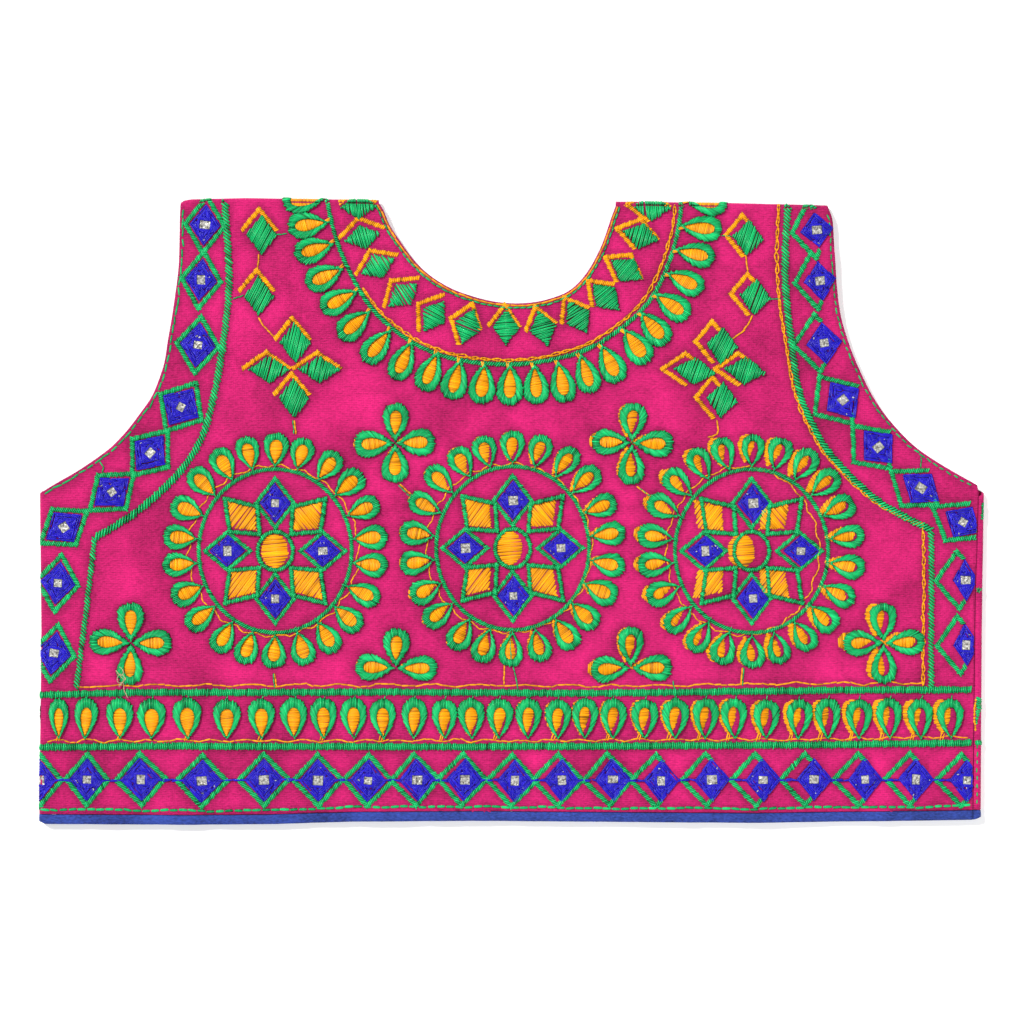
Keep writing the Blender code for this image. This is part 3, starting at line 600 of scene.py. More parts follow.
def sew(name, rows, material, lay=lay_back, end_shade=1.0):
    """One piece with each stitch as a low arch of thread that goes down at both ends."""
    rows = np.vstack(rows)
    if lay is lay_back:
        rows = over_shoulder(up_to_seam(rows))
    start, end = rows[:, None, 0:2], rows[:, None, 2:4]
    width, height, base, tone = rows[:, 4:].T
    run = end - start
    length = np.linalg.norm(run, axis=2, keepdims=True)
    side = np.stack([-run[..., 1], run[..., 0]], -1) / np.maximum(length, 0.01)
    rise = np.clip(END_RISE / np.maximum(length[:, 0], 0.01), 0.04, 0.25)
    along = np.hstack([0 * rise, rise, 0.5 + 0 * rise, 1 - rise, 1 + 0 * rise])
    flat = np.zeros((len(rows), 5, 3, 3))
    for k, across in enumerate((-1, 0, 1)):
        spread = across * width[:, None] / 2 * TAPER
        flat[:, :, k, :2] = start + run * along[..., None] + side * spread[..., None]
        crest = ARCH if across == 0 else np.minimum(ARCH, 0.12)
        flat[:, :, k, 2] = base[:, None] + height[:, None] * crest
    points = lay(flat.reshape(-1, 3))
    grid = np.arange(15).reshape(5, 3)
    quads = np.stack([grid[:-1, 1:], grid[1:, 1:], grid[1:, :-1], grid[:-1, :-1]], -1)
    faces = (np.arange(len(rows))[:, None, None] * 15 + quads.reshape(-1, 4)).reshape(-1, 4)
    mesh = bpy.data.meshes.new(name)
    mesh.from_pydata(points.tolist(), [], faces.tolist())
    mesh.shade_smooth()
    # Painted shade at each stitch's ends and a painted highlight over its middle, on top of its random
    # tone.
    shades = (tone[:, None] + END_SHADE * end_shade).ravel()
    mesh.attributes.new("shade", "FLOAT", "POINT").data.foreach_set("value", shades)
    place = np.zeros((len(rows), 5, 3, 2))
    place[..., 0] = (length[:, 0] * along)[:, :, None] + chance.uniform(0, 9, (len(rows), 1, 1))
    place[..., 1] = (0, 0.5, 1)
    threads = mesh.uv_layers.new(name="thread").data
    threads.foreach_set("uv", place.reshape(-1, 2)[faces.reshape(-1)].ravel())
    add_piece(name, mesh, material)
    if lay is lay_back:
        stitched.append(points[1::3])


LEFT_CORD = [
    (-145.4, 157.4), (-144.2, 138.0), (-143.3, 119.5), (-144.4, 100.0), (-146.9, 80.9),
    (-151.5, 56.6), (-157.5, 36.8), (-169.2, 19.0), (-190.5, -0.3), (-211.3, -13.4),
]
RIGHT_CORD = [
    (140.3, 156.0), (139.2, 138.0), (138.8, 121.5), (139.6, 106.0), (141.3, 92.6),
    (145.4, 63.2), (153.5, 42.4), (164.1, 26.1), (186.0, 5.3), (212.9, -9.4),
]
LEFT_SIDE_CORD = [(-211.3, -13.4), (-216.0, -52.0), (-220.8, -90.0)]
RIGHT_SIDE_CORD = [(212.9, -9.4), (213.0, -50.0), (212.8, -90.0)]
NECK_CORD = [
    (-93.8, 158.6), (-89.6, 140.3), (-82.5, 122.5), (-71.8, 104.3), (-57.6, 90.6),
    (-41.4, 81.4), (-23.6, 76.4), (-0.8, 74.8), (19.5, 76.9), (39.8, 83.0), (57.6, 94.6),
    (70.3, 107.3), (79.4, 125.1), (84.5, 142.8), (86.3, 158.0),
]
UPPER_HEM_CORD = {-236: -93.0, -190: -91.8, -60: -91.6, 40: -92.2, 160: -90.6, 233: -90.4}
LOWER_HEM_CORD = {-236: -119.6, -180: -119.0, -40: -119.4, 60: -119.0, 160: -118.4, 233: -117.4}
ROPE_SLANT = 42.0
cords = []
for points, width in (
    (LEFT_CORD, 3.9), (RIGHT_CORD, 3.9), (LEFT_SIDE_CORD, 3.1), (RIGHT_SIDE_CORD, 3.3),
):
    cords.append(satin(rounded(points, 2), width, ROPE_SLANT, 1.3, 0, 0.3, 1.72, 0.97))
neck_cord = rounded(NECK_CORD, 2)
cords.append(satin(neck_cord, 2.6, ROPE_SLANT, 1.1, 0, 0.2, 1.3, 1.02))
for heights in (UPPER_HEM_CORD, LOWER_HEM_CORD):
    places = span(-239.2, 233.4, 3)
    cords.append(satin(np.column_stack([places, at(heights, places)]), 4.0, 8, 1.2, ragged=0.35))
sew("couched_cords", cords, green_thread)

# Mirror lozenges of the armholes: a square of silver foil on the cloth, covered by blue
# satin stitch but for a small window, inside a green outline. Nine run down each side.
FOIL_HALF = 3.3
blue_thread = thread_finish("blue_thread", (0.015, 0.009, 0.44), 0.28, 0.8)
foil, tree, surface = new_finish("silver_foil", {"Metallic": 0.3, "Roughness": 0.38})
where = tree.nodes.new("ShaderNodeTexCoord").outputs["Object"]
# Painted reflections: the foil's colour runs from dark to light grey in fine noise, for the dark streaks
# and glints of its crumples.
crumple_reflections = tree.nodes.new("ShaderNodeValToRGB")
wire(tree, noise(tree, where, 900, 3), crumple_reflections.inputs["Fac"])
for k, (place, tone) in enumerate((
    (0.34, (0.09, 0.08, 0.065)), (0.47, (0.33, 0.32, 0.29)), (0.70, (0.60, 0.59, 0.55)),
)):
    stop = crumple_reflections.color_ramp.elements[k] if k < 2 else crumple_reflections.color_ramp.elements.new(place)
    stop.position = place
    stop.color = (*tone, 1)
wire(tree, crumple_reflections.outputs["Color"], surface.inputs["Base Color"])
wire(tree, bumped(tree, noise(tree, where, 620, 2), 0.0008), surface.inputs["Normal"])


def turned(points, degrees, centre=(0, 0)):
    """Points turned anticlockwise about the origin and then moved to a centre."""
    cos, sin = math.cos(math.radians(degrees)), math.sin(math.radians(degrees))
    x, y = np.asarray(points, float).T
    return np.column_stack([centre[0] + x * cos - y * sin, centre[1] + x * sin + y * cos])


def outline_band(corners, width, slant=25.0, height=0.85, base=0.0, closed=True):
    """A satin band along each side of a figure, with its corners filled."""
    corners = np.asarray(corners, float)
    ends = np.roll(corners, -1, 0) if closed else corners[1:]
    rows = []
    for start, end in zip(corners, ends):
        ahead = (end - start) / np.linalg.norm(end - start) * width * 0.35
        rows.append(satin([start - ahead, end + ahead], width, slant, height, base))
    return np.vstack(rows)


def filled(outline, angle, height=0.65, base=0.0, ragged=0.35, pitch=STITCH_PITCH, tilt=0.17):
    """Parallel satin stitches from side to side of a closed outline, at an angle in degrees."""
    shape = turned(outline, -angle)
    after = np.roll(shape, -1, 0)
    starts, ends = [], []
    for level in np.arange(shape[:, 1].min() + pitch * 0.6, shape[:, 1].max() - pitch * 0.2, pitch):
        cut = (shape[:, 1] > level) != (after[:, 1] > level)
        a, b = shape[cut], after[cut]
        across = np.sort(a[:, 0] + (level - a[:, 1]) / (b[:, 1] - a[:, 1]) * (b[:, 0] - a[:, 0]))
        if across[-1] - across[0] > 0.8:
            wander = chance.uniform(-ragged, ragged, 2)
            lean = chance.normal(0, tilt, 2)
            starts.append((across[0] + wander[0], level + lean[0]))
            ends.append((across[-1] + wander[1], level + lean[1]))
    heights = height * chance.uniform(0.85, 1.1, len(starts))
    return stitch_rows(turned(starts, angle), turned(ends, angle), pitch * 1.22, heights, base, 0.17)


def mirror_satin(half, turn, centre, window, base=0.5):
    """Blue stitches laid round and round a lozenge, parallel to its sides, up to its window,
    with two straight stitches along each side of the window."""
    half_x, half_y = half
    rows = []
    spacing = 0.62 / (half_x * half_y / math.hypot(half_x, half_y))
    for share in np.arange(1 - 0.3 * spacing, 0.16, -spacing):
        corners = np.array([(half_x, 0), (0, half_y), (-half_x, 0), (0, -half_y)]) * share
        for start, end in zip(corners, np.roll(corners, -1, 0)):
            marks = np.linspace(0, 1, 41)
            reach = (end - start) / np.linalg.norm(end - start) * 0.35
            line = start - reach + (end - start + 2 * reach) * marks[:, None]
            clear = (np.abs(line) > np.array(window) + 0.5).any(1)
            breaks = sorted({0, 40, int(chance.randint(12, 29))} if share > 0.45 else {0, 40})
            for low, high in zip(breaks, breaks[1:]):
                kept = [k for k in range(low, high + 1) if clear[k]]
                for group in np.split(kept, np.where(np.diff(kept) > 1)[0] + 1) if kept else []:
                    if len(group) > 1 and np.linalg.norm(line[group[-1]] - line[group[0]]) > 0.7:
                        wander = chance.normal(0, 0.15, 2)
                        rows.append((*(line[group[0]] + wander), *(line[group[-1]] + wander)))
    rows = np.array(rows)
    start, end = turned(rows[:, :2], turn, centre), turned(rows[:, 2:], turn, centre)
    heights = chance.uniform(0.40, 0.56, len(rows))
    laid = stitch_rows(start, end, 0.86, heights, base, 0.12)
    frame_ends = []
    wide, high = window
    for off in (0.3, 0.85):
        for x, y in ((wide + off, high + 1.2), (-wide - off, high + 1.2)):
            frame_ends.append((x, -y, x, y))
        for x, y in ((wide + 1.2, high + off), (wide + 1.2, -high - off)):
            frame_ends.append((-x, y, x, y))
    frame_ends = np.array(frame_ends) + chance.normal(0, 0.08, (8, 4))
    askew = turn + chance.uniform(-5, 5)
    start, end = turned(frame_ends[:, :2], askew, centre), turned(frame_ends[:, 2:], askew, centre)
    return np.vstack([laid, stitch_rows(start, end, 0.85, 0.5, base + 0.1, 0.12)])


foil_plates = bmesh.new()


def foil_plate(centre, turn, half=FOIL_HALF):
    """A square of foil on the cloth, a little crumpled, with its edges under the stitches."""
    plate = bmesh.ops.create_grid(foil_plates, x_segments=4, y_segments=4, size=half)["verts"]
    flat = turned([v.co[:2] for v in plate], turn, centre)
    flat[:, 0] = np.minimum(flat[:, 0], at(SIDE_SEAM, flat[:, 1]) - 0.4)
    lift = 0.35 + chance.uniform(-0.12, 0.12, len(plate))
    for vert, place in zip(plate, lay_back(np.column_stack([flat, lift]))):
        vert.co = place


def foil_fleck(place):
    """A small torn bit of foil that shows between two blue stitches."""
    corners = np.array([(-0.5, -0.22), (0.5, -0.25), (0.45, 0.25), (-0.45, 0.2)]) * chance.uniform(0.5, 1.2)
    flat = turned(corners, chance.uniform(0, 180), place)
    laid = lay_back(np.column_stack([flat, 1.12 + 0 * flat[:, 0]]))
    foil_plates.faces.new([foil_plates.verts.new(corner) for corner in laid])


green, blue = [], []


def mirror_lozenge(centre, green_half, blue_half, turn=0.0, drift=0.0, band=2.9):
    """Foil, blue satin and green outline of one mirror. The blue may have drifted to the right
    of the green, and then it hides most of the sides that face right."""
    half_x, half_y = green_half
    corners = [(half_x, 0), (0, half_y), (-half_x, 0), (0, -half_y)]
    corners = turned(corners, turn, (centre[0] - drift, centre[1]))
    for start, end in zip(corners, np.roll(corners, -1, 0)):
        facing_right = (end - start)[1] / np.linalg.norm(end - start)
        if drift >= 2.4 and facing_right >= 0.5:
            low = start[1] < centre[1] - half_y / 2
            start, end = (start, 0.78 * start + 0.22 * end) if low else (0.22 * start + 0.78 * end, end)
        green.append(outline_band([start, end], band, 28, closed=False))
    window = chance.uniform(2.0, 2.7), chance.uniform(2.0, 2.6)
    foil_plate(centre, turn + chance.uniform(-6, 6))
    blue.append(mirror_satin(blue_half, turn, centre, window))
    for _ in range(chance.randint(1, 5)):
        across, up = chance.uniform(-1, 1, 2)
        place = np.array([(across + up) / 2 * blue_half[0], (across - up) / 2 * blue_half[1]]) * 0.92
        if np.abs(place).max() > 3.6:
            foil_fleck(turned([place], turn, centre)[0])


# Each row: centre, turn and half width of the green outline, and half sizes of the blue. The
# drift is how far the blue lies off to the right of the green, by height up the right armhole.
MIRROR_UP = 14.4
LEFT_LOZENGES = [
    (-155.5, 145.4, -4, 10.0, 7.7, 10.3), (-157.5, 117.5, -6, 10.0, 7.9, 10.6),
    (-159.1, 84.5, -6.5, 10.8, 8.9, 11.2), (-167.7, 53.0, -32, 12.2, 10.3, 10.9),
    (-183.4, 29.7, -38, 11.6, 9.7, 10.9), (-202.7, 9.9, -50, 11.0, 9.1, 10.9),
    (-227.0, -7.9, -56, 10.9, 9.0, 10.9), (-230.1, -36.3, -7, 10.5, 8.6, 10.9),
    (-232.1, -71.8, -9, 10.5, 8.6, 10.9),
]
RIGHT_LOZENGES = [
    (154.8, 142.8, 8, 10.0, 8.3, 8.9), (156.4, 117.0, 7, 10.0, 8.2, 10.0),
    (158.6, 85.5, 6, 12.0, 9.2, 10.6), (168.2, 56.6, 34, 12.9, 9.8, 10.9),
    (186.0, 32.7, 41, 11.7, 9.6, 10.9), (207.8, 11.9, 54, 11.1, 8.9, 11.1),
    (229.0, -5.3, 58, 11.0, 9.0, 10.1), (230.4, -34.8, 2.5, 11.4, 6.2, 10.6),
    (230.6, -67.7, 3, 11.0, 6.2, 10.4),
]
ARM_DRIFT = {-70: 3.6, -35: 3.8, -5: 3.0, 12: 3.4, 57: 3.7, 85: 3.5, 117: 2.7, 143: 2.5}
for x, y, turn, half, blue_x, blue_y in LEFT_LOZENGES + RIGHT_LOZENGES:
    drift = at(ARM_DRIFT, y) if x > 0 else 0.0
    mirror_lozenge((x, y), (half, MIRROR_UP), (blue_x, blue_y), turn, drift)
sew("armhole_lozenges", green, green_thread)
sew("armhole_mirror_satin", blue, blue_thread, end_shade=0.25)

# Medallions: three green rings of satin cord, each round four mirrors and four rhombi, with
# a disc of orange satin in the middle and 22 drop petals round the outside. Each colour was
# sewn on its own and has drifted from the green, further towards the right.
ORANGE_DRIFT = {-240: 0.0, -120: -0.5, 0: -1.9, 120: -3.5, 240: -4.6}
FILL_DRIFT = {-240: 0.0, -120: -0.3, 0: -1.9, 120: -5.2, 240: -5.6}
BLUE_DRIFT = {-120: 0.0, 0: 0.3, 120: 0.8}
orange_thread = thread_finish("orange_thread", (0.80, 0.295, 0.0006), 0.34, 0.60)
MEDALLIONS = [(-119.9, -20.0), (0.6, -18.6), (121.8, -20.0)]
RING_HALF = np.array([38.8, 41.5])
MEDALLION_PETALS = 22
PETAL_HOLE = {-120: 0.53, 0: 0.51, 120: 0.45}
MIRROR_REACH = 24.2
MIRROR_HALVES = [(9.6, 12.5), (9.6, 11.4)]
RHOMBUS = np.array([(25.5, 26.5), (9.0, 22.5), (8.0, 8.6), (23.0, 9.8)])
DISC_HALF = (8.9, 9.8)


def drop(length, half, marks=45):
    """Points round a drop that is pointed at the origin and round at its far end, up +Y."""
    angle = np.linspace(0, 2 * math.pi, marks)
    across = half * 1.30 * np.sin(angle) * np.sin(angle / 2)
    return np.column_stack([-across, length * (1 - np.cos(angle)) / 2])


def even(line, shares):
    """The points of a line at the nearest of 401 even places to these shares of it."""
    places = np.linspace(0, distances(line)[-1], 401)
    return on_line(line, places)[np.round(400 * shares).astype(int)]


def spoke(turn):
    """The direction of a bearing in degrees from straight up."""
    return turned([(0, 1)], turn)[0]


def petal(tip, turn, length, half, inner, foot, head, drift=None, crown=0.0):
    """A green satin ring in the shape of a drop, with its round end turned to a bearing, and
    the orange drop under it, drifted to the left. Foot and head are its shares below and
    above its hole. The stitches lean away from the tip on both sides, as leaf veins do."""
    marks = np.linspace(0, 1, int((2 * length + 1.2 * half) / 0.82))
    line = drop(length, half, 121)
    line[:, 1] += crown * np.exp(-(((line[:, 0] + 0.8) / 1.5) ** 2)) * (line[:, 1] > length / 2)
    outer = even(line, marks)
    hole = drop(length * (1 - foot - head), half * inner, 121) + (0, length * foot)
    within = even(hole, marks - 0.075 * np.sin(2 * math.pi * marks))
    reach = (outer - within) / np.maximum(np.linalg.norm(outer - within, axis=1)[:, None], 0.1)
    outer = outer + reach * chance.uniform(-0.35, 0.65, (len(marks), 1))
    green.append(stitch_rows(turned(within, turn, tip), turned(outer, turn, tip), 0.92, 0.95, 0.55))
    middle = drop(length * 0.92, half * 0.75) + (0, length * 0.03)
    drift = at(ORANGE_DRIFT, tip[0]) if drift is None else drift
    centre = (tip[0] + drift, tip[1] - 0.2 * drift)
    laid = turned(middle, turn, centre)
    orange.append(filled(laid, turn + chance.uniform(-8, 8), pitch=0.8, tilt=0.09))


green, blue, orange = [], [], []
angles = np.linspace(0, 2 * math.pi, 121)
circle = np.column_stack([np.cos(angles), np.sin(angles)])
for x, y in MEDALLIONS:
    green.append(satin(circle * RING_HALF + (x, y), 2.4, ROPE_SLANT, 1.1, pitch=1.15, ragged=0.16))
    for k in range(MEDALLION_PETALS):
        turn = 360 * k / MEDALLION_PETALS
        tip = spoke(turn) * (RING_HALF + 1.2) + (x, y)
        lean = turn + chance.uniform(-5, 3)
        length = chance.uniform(16.2, 17.6) + abs(spoke(turn)[0])
        petal(tip, lean, length, chance.uniform(5.8, 6.5), at(PETAL_HOLE, x), 0.08, 0.22)
    drift, blue_drift = at(FILL_DRIFT, x), at(BLUE_DRIFT, x)
    for k in range(4):
        centre = turned([(0, MIRROR_REACH)], 90 * k, (x + blue_drift, y))[0]
        half_x, half_y = MIRROR_HALVES[k % 2]
        mirror_lozenge(centre, (half_x, half_y), (half_x - 1.8, half_y - 2.6), 90 * k, blue_drift, 2.5)
        right, up = (1 if k in (0, 3) else -1), (1 if k < 2 else -1)
        rhombus = RHOMBUS * (right, up)
        green.append(outline_band(rhombus + (x, y), 2.5, 28, base=0.55))
        inside = (rhombus - rhombus.mean(0)) * 0.90 + rhombus.mean(0)
        angle = -50 if (right, up) == (1, 1) else 53
        orange.append(filled(inside + (x + drift, y + 0.8), angle, tilt=0.24))
    disc = circle * DISC_HALF
    green.append(satin(disc + (x, y), 2.4, 25, 0.9, 0.55))
    orange.append(filled(disc * (0.80, 0.90) + (x + drift, y), 5, tilt=0.24))
sew("medallion_fills", orange, orange_thread)
sew("medallion_outlines", green, green_thread)
sew("medallion_mirror_satin", blue, blue_thread, end_shade=0.25)

# Neck rows: a green running stitch and long orange ones follow the bare edge of the scoop.
# Green satin diamonds stand behind them, over orange outlines that lie a little off, and
# then drop petals on the neck cord, all pointing to the middle of the neck.
NECK_MIDDLE = np.array([-0.5, 156.5])
NECK_DIAMONDS = [
    (-77.4, 154.6), (-75.4, 139.2), (-67.7, 124.4), (-54.9, 109.9), (-39.3, 99.2), (-22.1, 94.1),
    (-2.8, 93.6), (16.0, 93.1), (33.7, 98.7), (47.9, 108.8), (58.6, 122.5), (65.7, 139.8), (71.3, 154.0),
]
NECK_PETALS = [
    (-105.8, 158.4), (-103.8, 144.9), (-100.7, 132.2), (-95.6, 119.0), (-88.0, 106.8),
    (-79.9, 94.1), (-68.8, 84.0), (-55.6, 76.4), (-41.9, 70.8), (-28.7, 66.2), (-15.0, 64.2),
    (-1.3, 63.7), (12.4, 63.7), (25.6, 65.2), (38.3, 69.3), (51.0, 74.8), (63.7, 83.5),
    (73.3, 92.6), (83.5, 104.3), (90.6, 117.0), (95.6, 130.7), (98.7, 143.8), (101.2, 157.0),
]
NECK_PETAL_SHIFT = {60: 0, 92: 1.6, 104: 2.2}
DIAMOND_HALF = {-80: 6.5, -20: 7.1, 20: 7.1, 50: 7.0, 70: 7.0}
OUTLINE_SHIFT_X = {-80: -0.6, -40: -1.6, 0: -1.0, 30: -1.6, 70: -2.0}
OUTLINE_SHIFT_Y = {-80: 2.5, -74: 2.4, -68: 1.1, -55: 1.4, -40: 1.9, 0: 1.0, 70: 1.3}
OUTLINE_SCALE = {-77.4: 0.90, -75.4: 1.16, -40: 1.13, 0: 1.06, 70: 1.08}


def beside(line, off):
    """A line moved sideways to its left."""
    ahead = np.gradient(line, axis=0)
    ahead /= np.linalg.norm(ahead, axis=1)[:, None]
    return line + off * np.column_stack([-ahead[:, 1], ahead[:, 0]])


def running(line, stitch, gap, width, height=0.6, base=0.0, wander=0.15, spread=0.14):
    """Running stitches one after another along a line, each about as long as given, with a gap
    before the next, which is less than nought where they overlap."""
    length = distances(line)[-1]
    count = max(1, round(length / (stitch + gap)))
    starts = np.arange(count) * length / count
    begin, stop = (
        on_line(line, places) + chance.normal(0, wander, (count, 2))
        for places in (starts, starts + length / count - gap)
    )
    return stitch_rows(begin, stop, width, height, base, spread)


def diamond(centre, half_x, half_y, turn=0.0):
    """Corners of a diamond: far tip, left, near tip, right, with its far tip at a bearing."""
    return turned([(0, half_y), (-half_x, 0), (0, -half_y), (half_x, 0)], turn, centre)


def bearing_of(way):
    """The bearing of a direction, in degrees anticlockwise from straight up."""
    return math.degrees(math.atan2(-way[0], way[1]))


edge_line = running(beside(neck_edge, -2.3), 3.4, 0.0, 1.0, 0.6, 0.3)
sew("neck_edge_green", [edge_line], green_thread, end_shade=0.5)
edge_line = running(beside(neck_edge, -1.1), 4.4, -0.5, 0.9)
sew("neck_edge_orange", [edge_line], orange_thread, end_shade=0.1)
green, orange = [], []
for k, centre in enumerate(NECK_DIAMONDS):
    bearing = bearing_of(np.array(centre) - NECK_MIDDLE)
    half_x = at(DIAMOND_HALF, centre[0])
    solid = diamond(centre, half_x, 9.9, bearing)
    green.append(filled(solid, bearing + chance.uniform(-9, 9), 0.9, 0.5, 0.4, 0.76, 0.26))
    shifts = [at(row, centre[0]) for row in (OUTLINE_SHIFT_X, OUTLINE_SHIFT_Y)]
    scale = at(OUTLINE_SCALE, centre[0])
    outline = diamond(np.array(centre) + shifts, half_x * scale, 9.7 * scale, bearing)
    shown = (0, 3, 2) if k < 5 else (0, 3, 2, 1) if k == 5 else (3, 2, 1) if k < 10 else (0, 1, 2, 3)
    orange.append(outline_band(outline[list(shown)], 2.8, 20, 0.7, closed=False))
for x, y in NECK_PETALS:
    centre = (x - at(NECK_PETAL_SHIFT, x), y)
    nearest = neck_cord[np.argmin(np.linalg.norm(neck_cord - centre, axis=1))]
    away = (np.array(centre) - nearest) / np.linalg.norm(np.array(centre) - nearest)
    tip = np.array(centre) - away * 11.4
    bearing = bearing_of(away)
    petal(
        tip, bearing + chance.uniform(-3, 3), chance.uniform(20.8, 21.8), chance.uniform(6.2, 6.8),
        chance.uniform(0.45, 0.52), 0.12, 0.19, -0.7,
    )
    for off in (0.9, 1.9):
        stub = turned([(off, -0.9), (off * 0.5, 2.6)], bearing, tip)
        orange.append(running(stub, 3.4, 0, 0.9, 0.6, 0.6))
sew("neck_orange", orange, orange_thread)
sew("neck_green", green, green_thread)

# Sprays and flowers: a spray of six satin diamonds fills each shoulder and flowers of three
# or four drop petals fill the bare cloth between the medallions.
# Each row: the diamond's centre, its turn, and how far its orange outline lies from it.
SPRAY_LEFT = [
    (-126.8, 140.4, 0, -1.2, 2.7), (-128.2, 109.2, 0, -1.2, 3.1), (-109.7, 85.6, 0, -1.4, 2.2),
    (-122.8, 72.0, 90, -1.6, 0.9), (-97.4, 72.0, 90, -1.4, 0.9), (-110.2, 57.5, 0, -1.4, 2.2),
]
SPRAY_RIGHT = [
    (120.0, 138.8, 0, -2.8, 1.4), (123.6, 108.8, 0, -3.8, 1.6), (106.8, 84.0, 0, -5.0, 2.2),
    (93.1, 71.3, 90, -5.0, 1.0), (118.5, 71.3, 90, -3.6, 1.0), (106.8, 56.6, 0, -4.8, 1.4),
]
FLOWERS = [
    (-59.1, 34.8, 4), (61.1, 34.8, 4), (-193.1, -66.7, 4), (189.0, -66.7, 4), (-58.6, -79.4, 3),
    (60.6, -79.4, 3),
]
green, orange = [], []
for x, y, turn, shift_x, shift_y in SPRAY_LEFT + SPRAY_RIGHT:
    half_x, half_y = (8.0, 10.4 if x < 0 else 9.6) if turn == 0 else (7.2, 11.2)
    lean = 0 if x < 0 else -6
    solid = diamond((x, y), half_x, half_y, turn + lean)
    green.append(filled(solid, chance.uniform(62, 76), 0.9, 0.5, 0.4, 0.76, 0.26))
    wide, high = (8.4, 10.2) if turn == 0 else (11.6, 7.8)
    top, left, bottom, right = diamond((x + shift_x, y + shift_y), wide, high)
    shown = [left, top, right] if x < 0 else [top * 0.6 + right * 0.4, top, left, bottom]
    orange.append(outline_band(shown, 2.8, 20, 0.7, closed=False))
for x, y, count in FLOWERS:
    for turn in (90, 0, -90, 180)[:count]:
        tip = turned([(0, 0.8)], turn, (x, y))[0]
        petal(
            tip, turn + chance.uniform(-3, 3), chance.uniform(19.4, 20.6), chance.uniform(6.4, 7.0),
            0.45, 0.17, 0.21,
        )
sew("spray_and_flower_orange", orange, orange_thread)
sew("spray_and_flower_green", green, green_thread)

# Hem rows: drop petals of satin stand point down between the two hem cords. Under them is a
# row of mirror lozenges like those of the armholes, joined by two blue threads.
HEM_PETALS = [
    -244.5, -229.6, -216.4, -198.6, -182.4, -164.1, -144.4, -126.6, -109.9, -95.1, -79.9, -64.7,
    -49.5, -33.7, -20.0, -6.3, 8.4, 23.6, 37.3, 51.5, 67.7, 83.0, 98.2, 113.4, 129.1, 145.4,
    160.6, 176.3, 192.1, 207.8, 223.0,
]
HEM_LOZENGES = [
    -239.2, -215.4, -188.0, -157.0, -125.6, -98.2, -72.8, -47.9, -23.6, 1.8, 25.6, 51.5, 75.9,
    101.7, 127.6, 153.5, 179.4, 205.2, 231.1,
]
HEM_PETAL_HALF = {1: 4.9, 2: 5.6, 3: 6.7, 4: 7.3, 5: 7.4, 8: 6.6}
HEM_PETAL_HOLE = {6: 0.51, 20: 0.46}
HEM_PETAL_HEAD = {6: 0.25, 20: 0.22}
HEM_PETAL_CROWN = {8: 0.5, 18: 0.2}
HEM_LOZENGE_HALF = {-215: 10.6, -188: 12.4}
HEM_BLUE_HALF = {-215: 8.5, -188: 10.1, -157: 10.1, -100: 9.3, 100: 8.8, 231: 8.8}
HEM_DRIFT = {-70: 0.0, -60: 0.9, 102: 3.0, 153: 4.6, 179: 3.4, 231: 2.9}
HEM_MIDDLE = -136.3
green, blue, orange = [], [], []
for k, x in enumerate(HEM_PETALS):
    half = at(HEM_PETAL_HALF, k) * chance.uniform(0.96, 1.04)
    inner, head, crown = (at(row, k) for row in (HEM_PETAL_HOLE, HEM_PETAL_HEAD, HEM_PETAL_CROWN))
    length = chance.uniform(19.9, 20.9)
    petal((x, -115.4), chance.uniform(-3, 3), length, half, inner, 0.06, head, crown=crown)
    green.append(running([(x, -95.6), (x + 0.7, -93.0)], 3, 0, 0.6, 0.5, 0.2))
    if k % 2 or x > 60:
        drift = at(ORANGE_DRIFT, x)
        for off in (0, 1.2):
            tail = [(x + drift + off, -112.0), (x + drift * 0.9 - 1.6 + off, -116.6)]
            orange.append(running(tail, 4.8, 0, 0.7, 0.5, 0.1))
for x in HEM_LOZENGES:
    half = (at(HEM_LOZENGE_HALF, x) + chance.uniform(-0.3, 0.3), 13.0)
    centre = (x, HEM_MIDDLE + chance.uniform(-0.5, 0.5))
    turn = chance.uniform(-3, 3)
    mirror_lozenge(centre, half, (at(HEM_BLUE_HALF, x), 10.8), turn, at(HEM_DRIFT, x), 3.0)
for before, after in zip(HEM_LOZENGES, HEM_LOZENGES[1:]):
    for off in (-0.5, 0.4):
        middle = (before + 13, HEM_MIDDLE - off)
        join = [(before + 7.6, HEM_MIDDLE + off), middle, (after - 7.6, HEM_MIDDLE + off)]
        blue.append(running(rounded(join, 2), 4.0, 0.0, 0.85, 0.5, 0.6, 0.25))
sew("hem_petal_fills", orange, orange_thread)
sew("hem_outlines", green, green_thread)
sew("hem_mirror_satin", blue, blue_thread, end_shade=0.25)

# Loose lines: orange chain stitch inside the neck cord and beside the right armhole cord,
# green running stitches along the armholes and over the binding, the threads that the needle
# carried from motif to motif, and one tangled undyed end at the left flower.
CHAIN_ARM = [
    (135.7, 156.0), (134.8, 138.0), (134.8, 121.0), (136.0, 105.0), (138.4, 90.0), (143.0, 62.6),
    (151.4, 41.6), (162.4, 25.2), (184.6, 4.4), (205.0, -6.0), (208.8, -12.0), (208.8, -88.0),
]
ORANGE_THREADS = [
    [(-128.3, 130.9), (-128.8, 121.6)], [(-128.3, 98.5), (-125.3, 93.7), (-118.4, 86.7)],
    [(118.8, 130.4), (119.7, 121.6)], [(122.3, 99.5), (118.2, 92.5), (111.8, 87.2)],
    [(104.3, 46.5), (104.3, 38.9), (99.6, 37.8)], [(-110.2, 46.5), (-109.2, 38.9)],
    [(-56.6, 13.9), (-50.8, 8.4)], [(63.5, 12.7), (69.9, 8.0)], [(-120.3, -82.1), (-119.2, -89.5)],
    [(117.0, -79.2), (116.3, -88.3)], [(-3.6, -78.0), (-3.9, -88.0)],
]
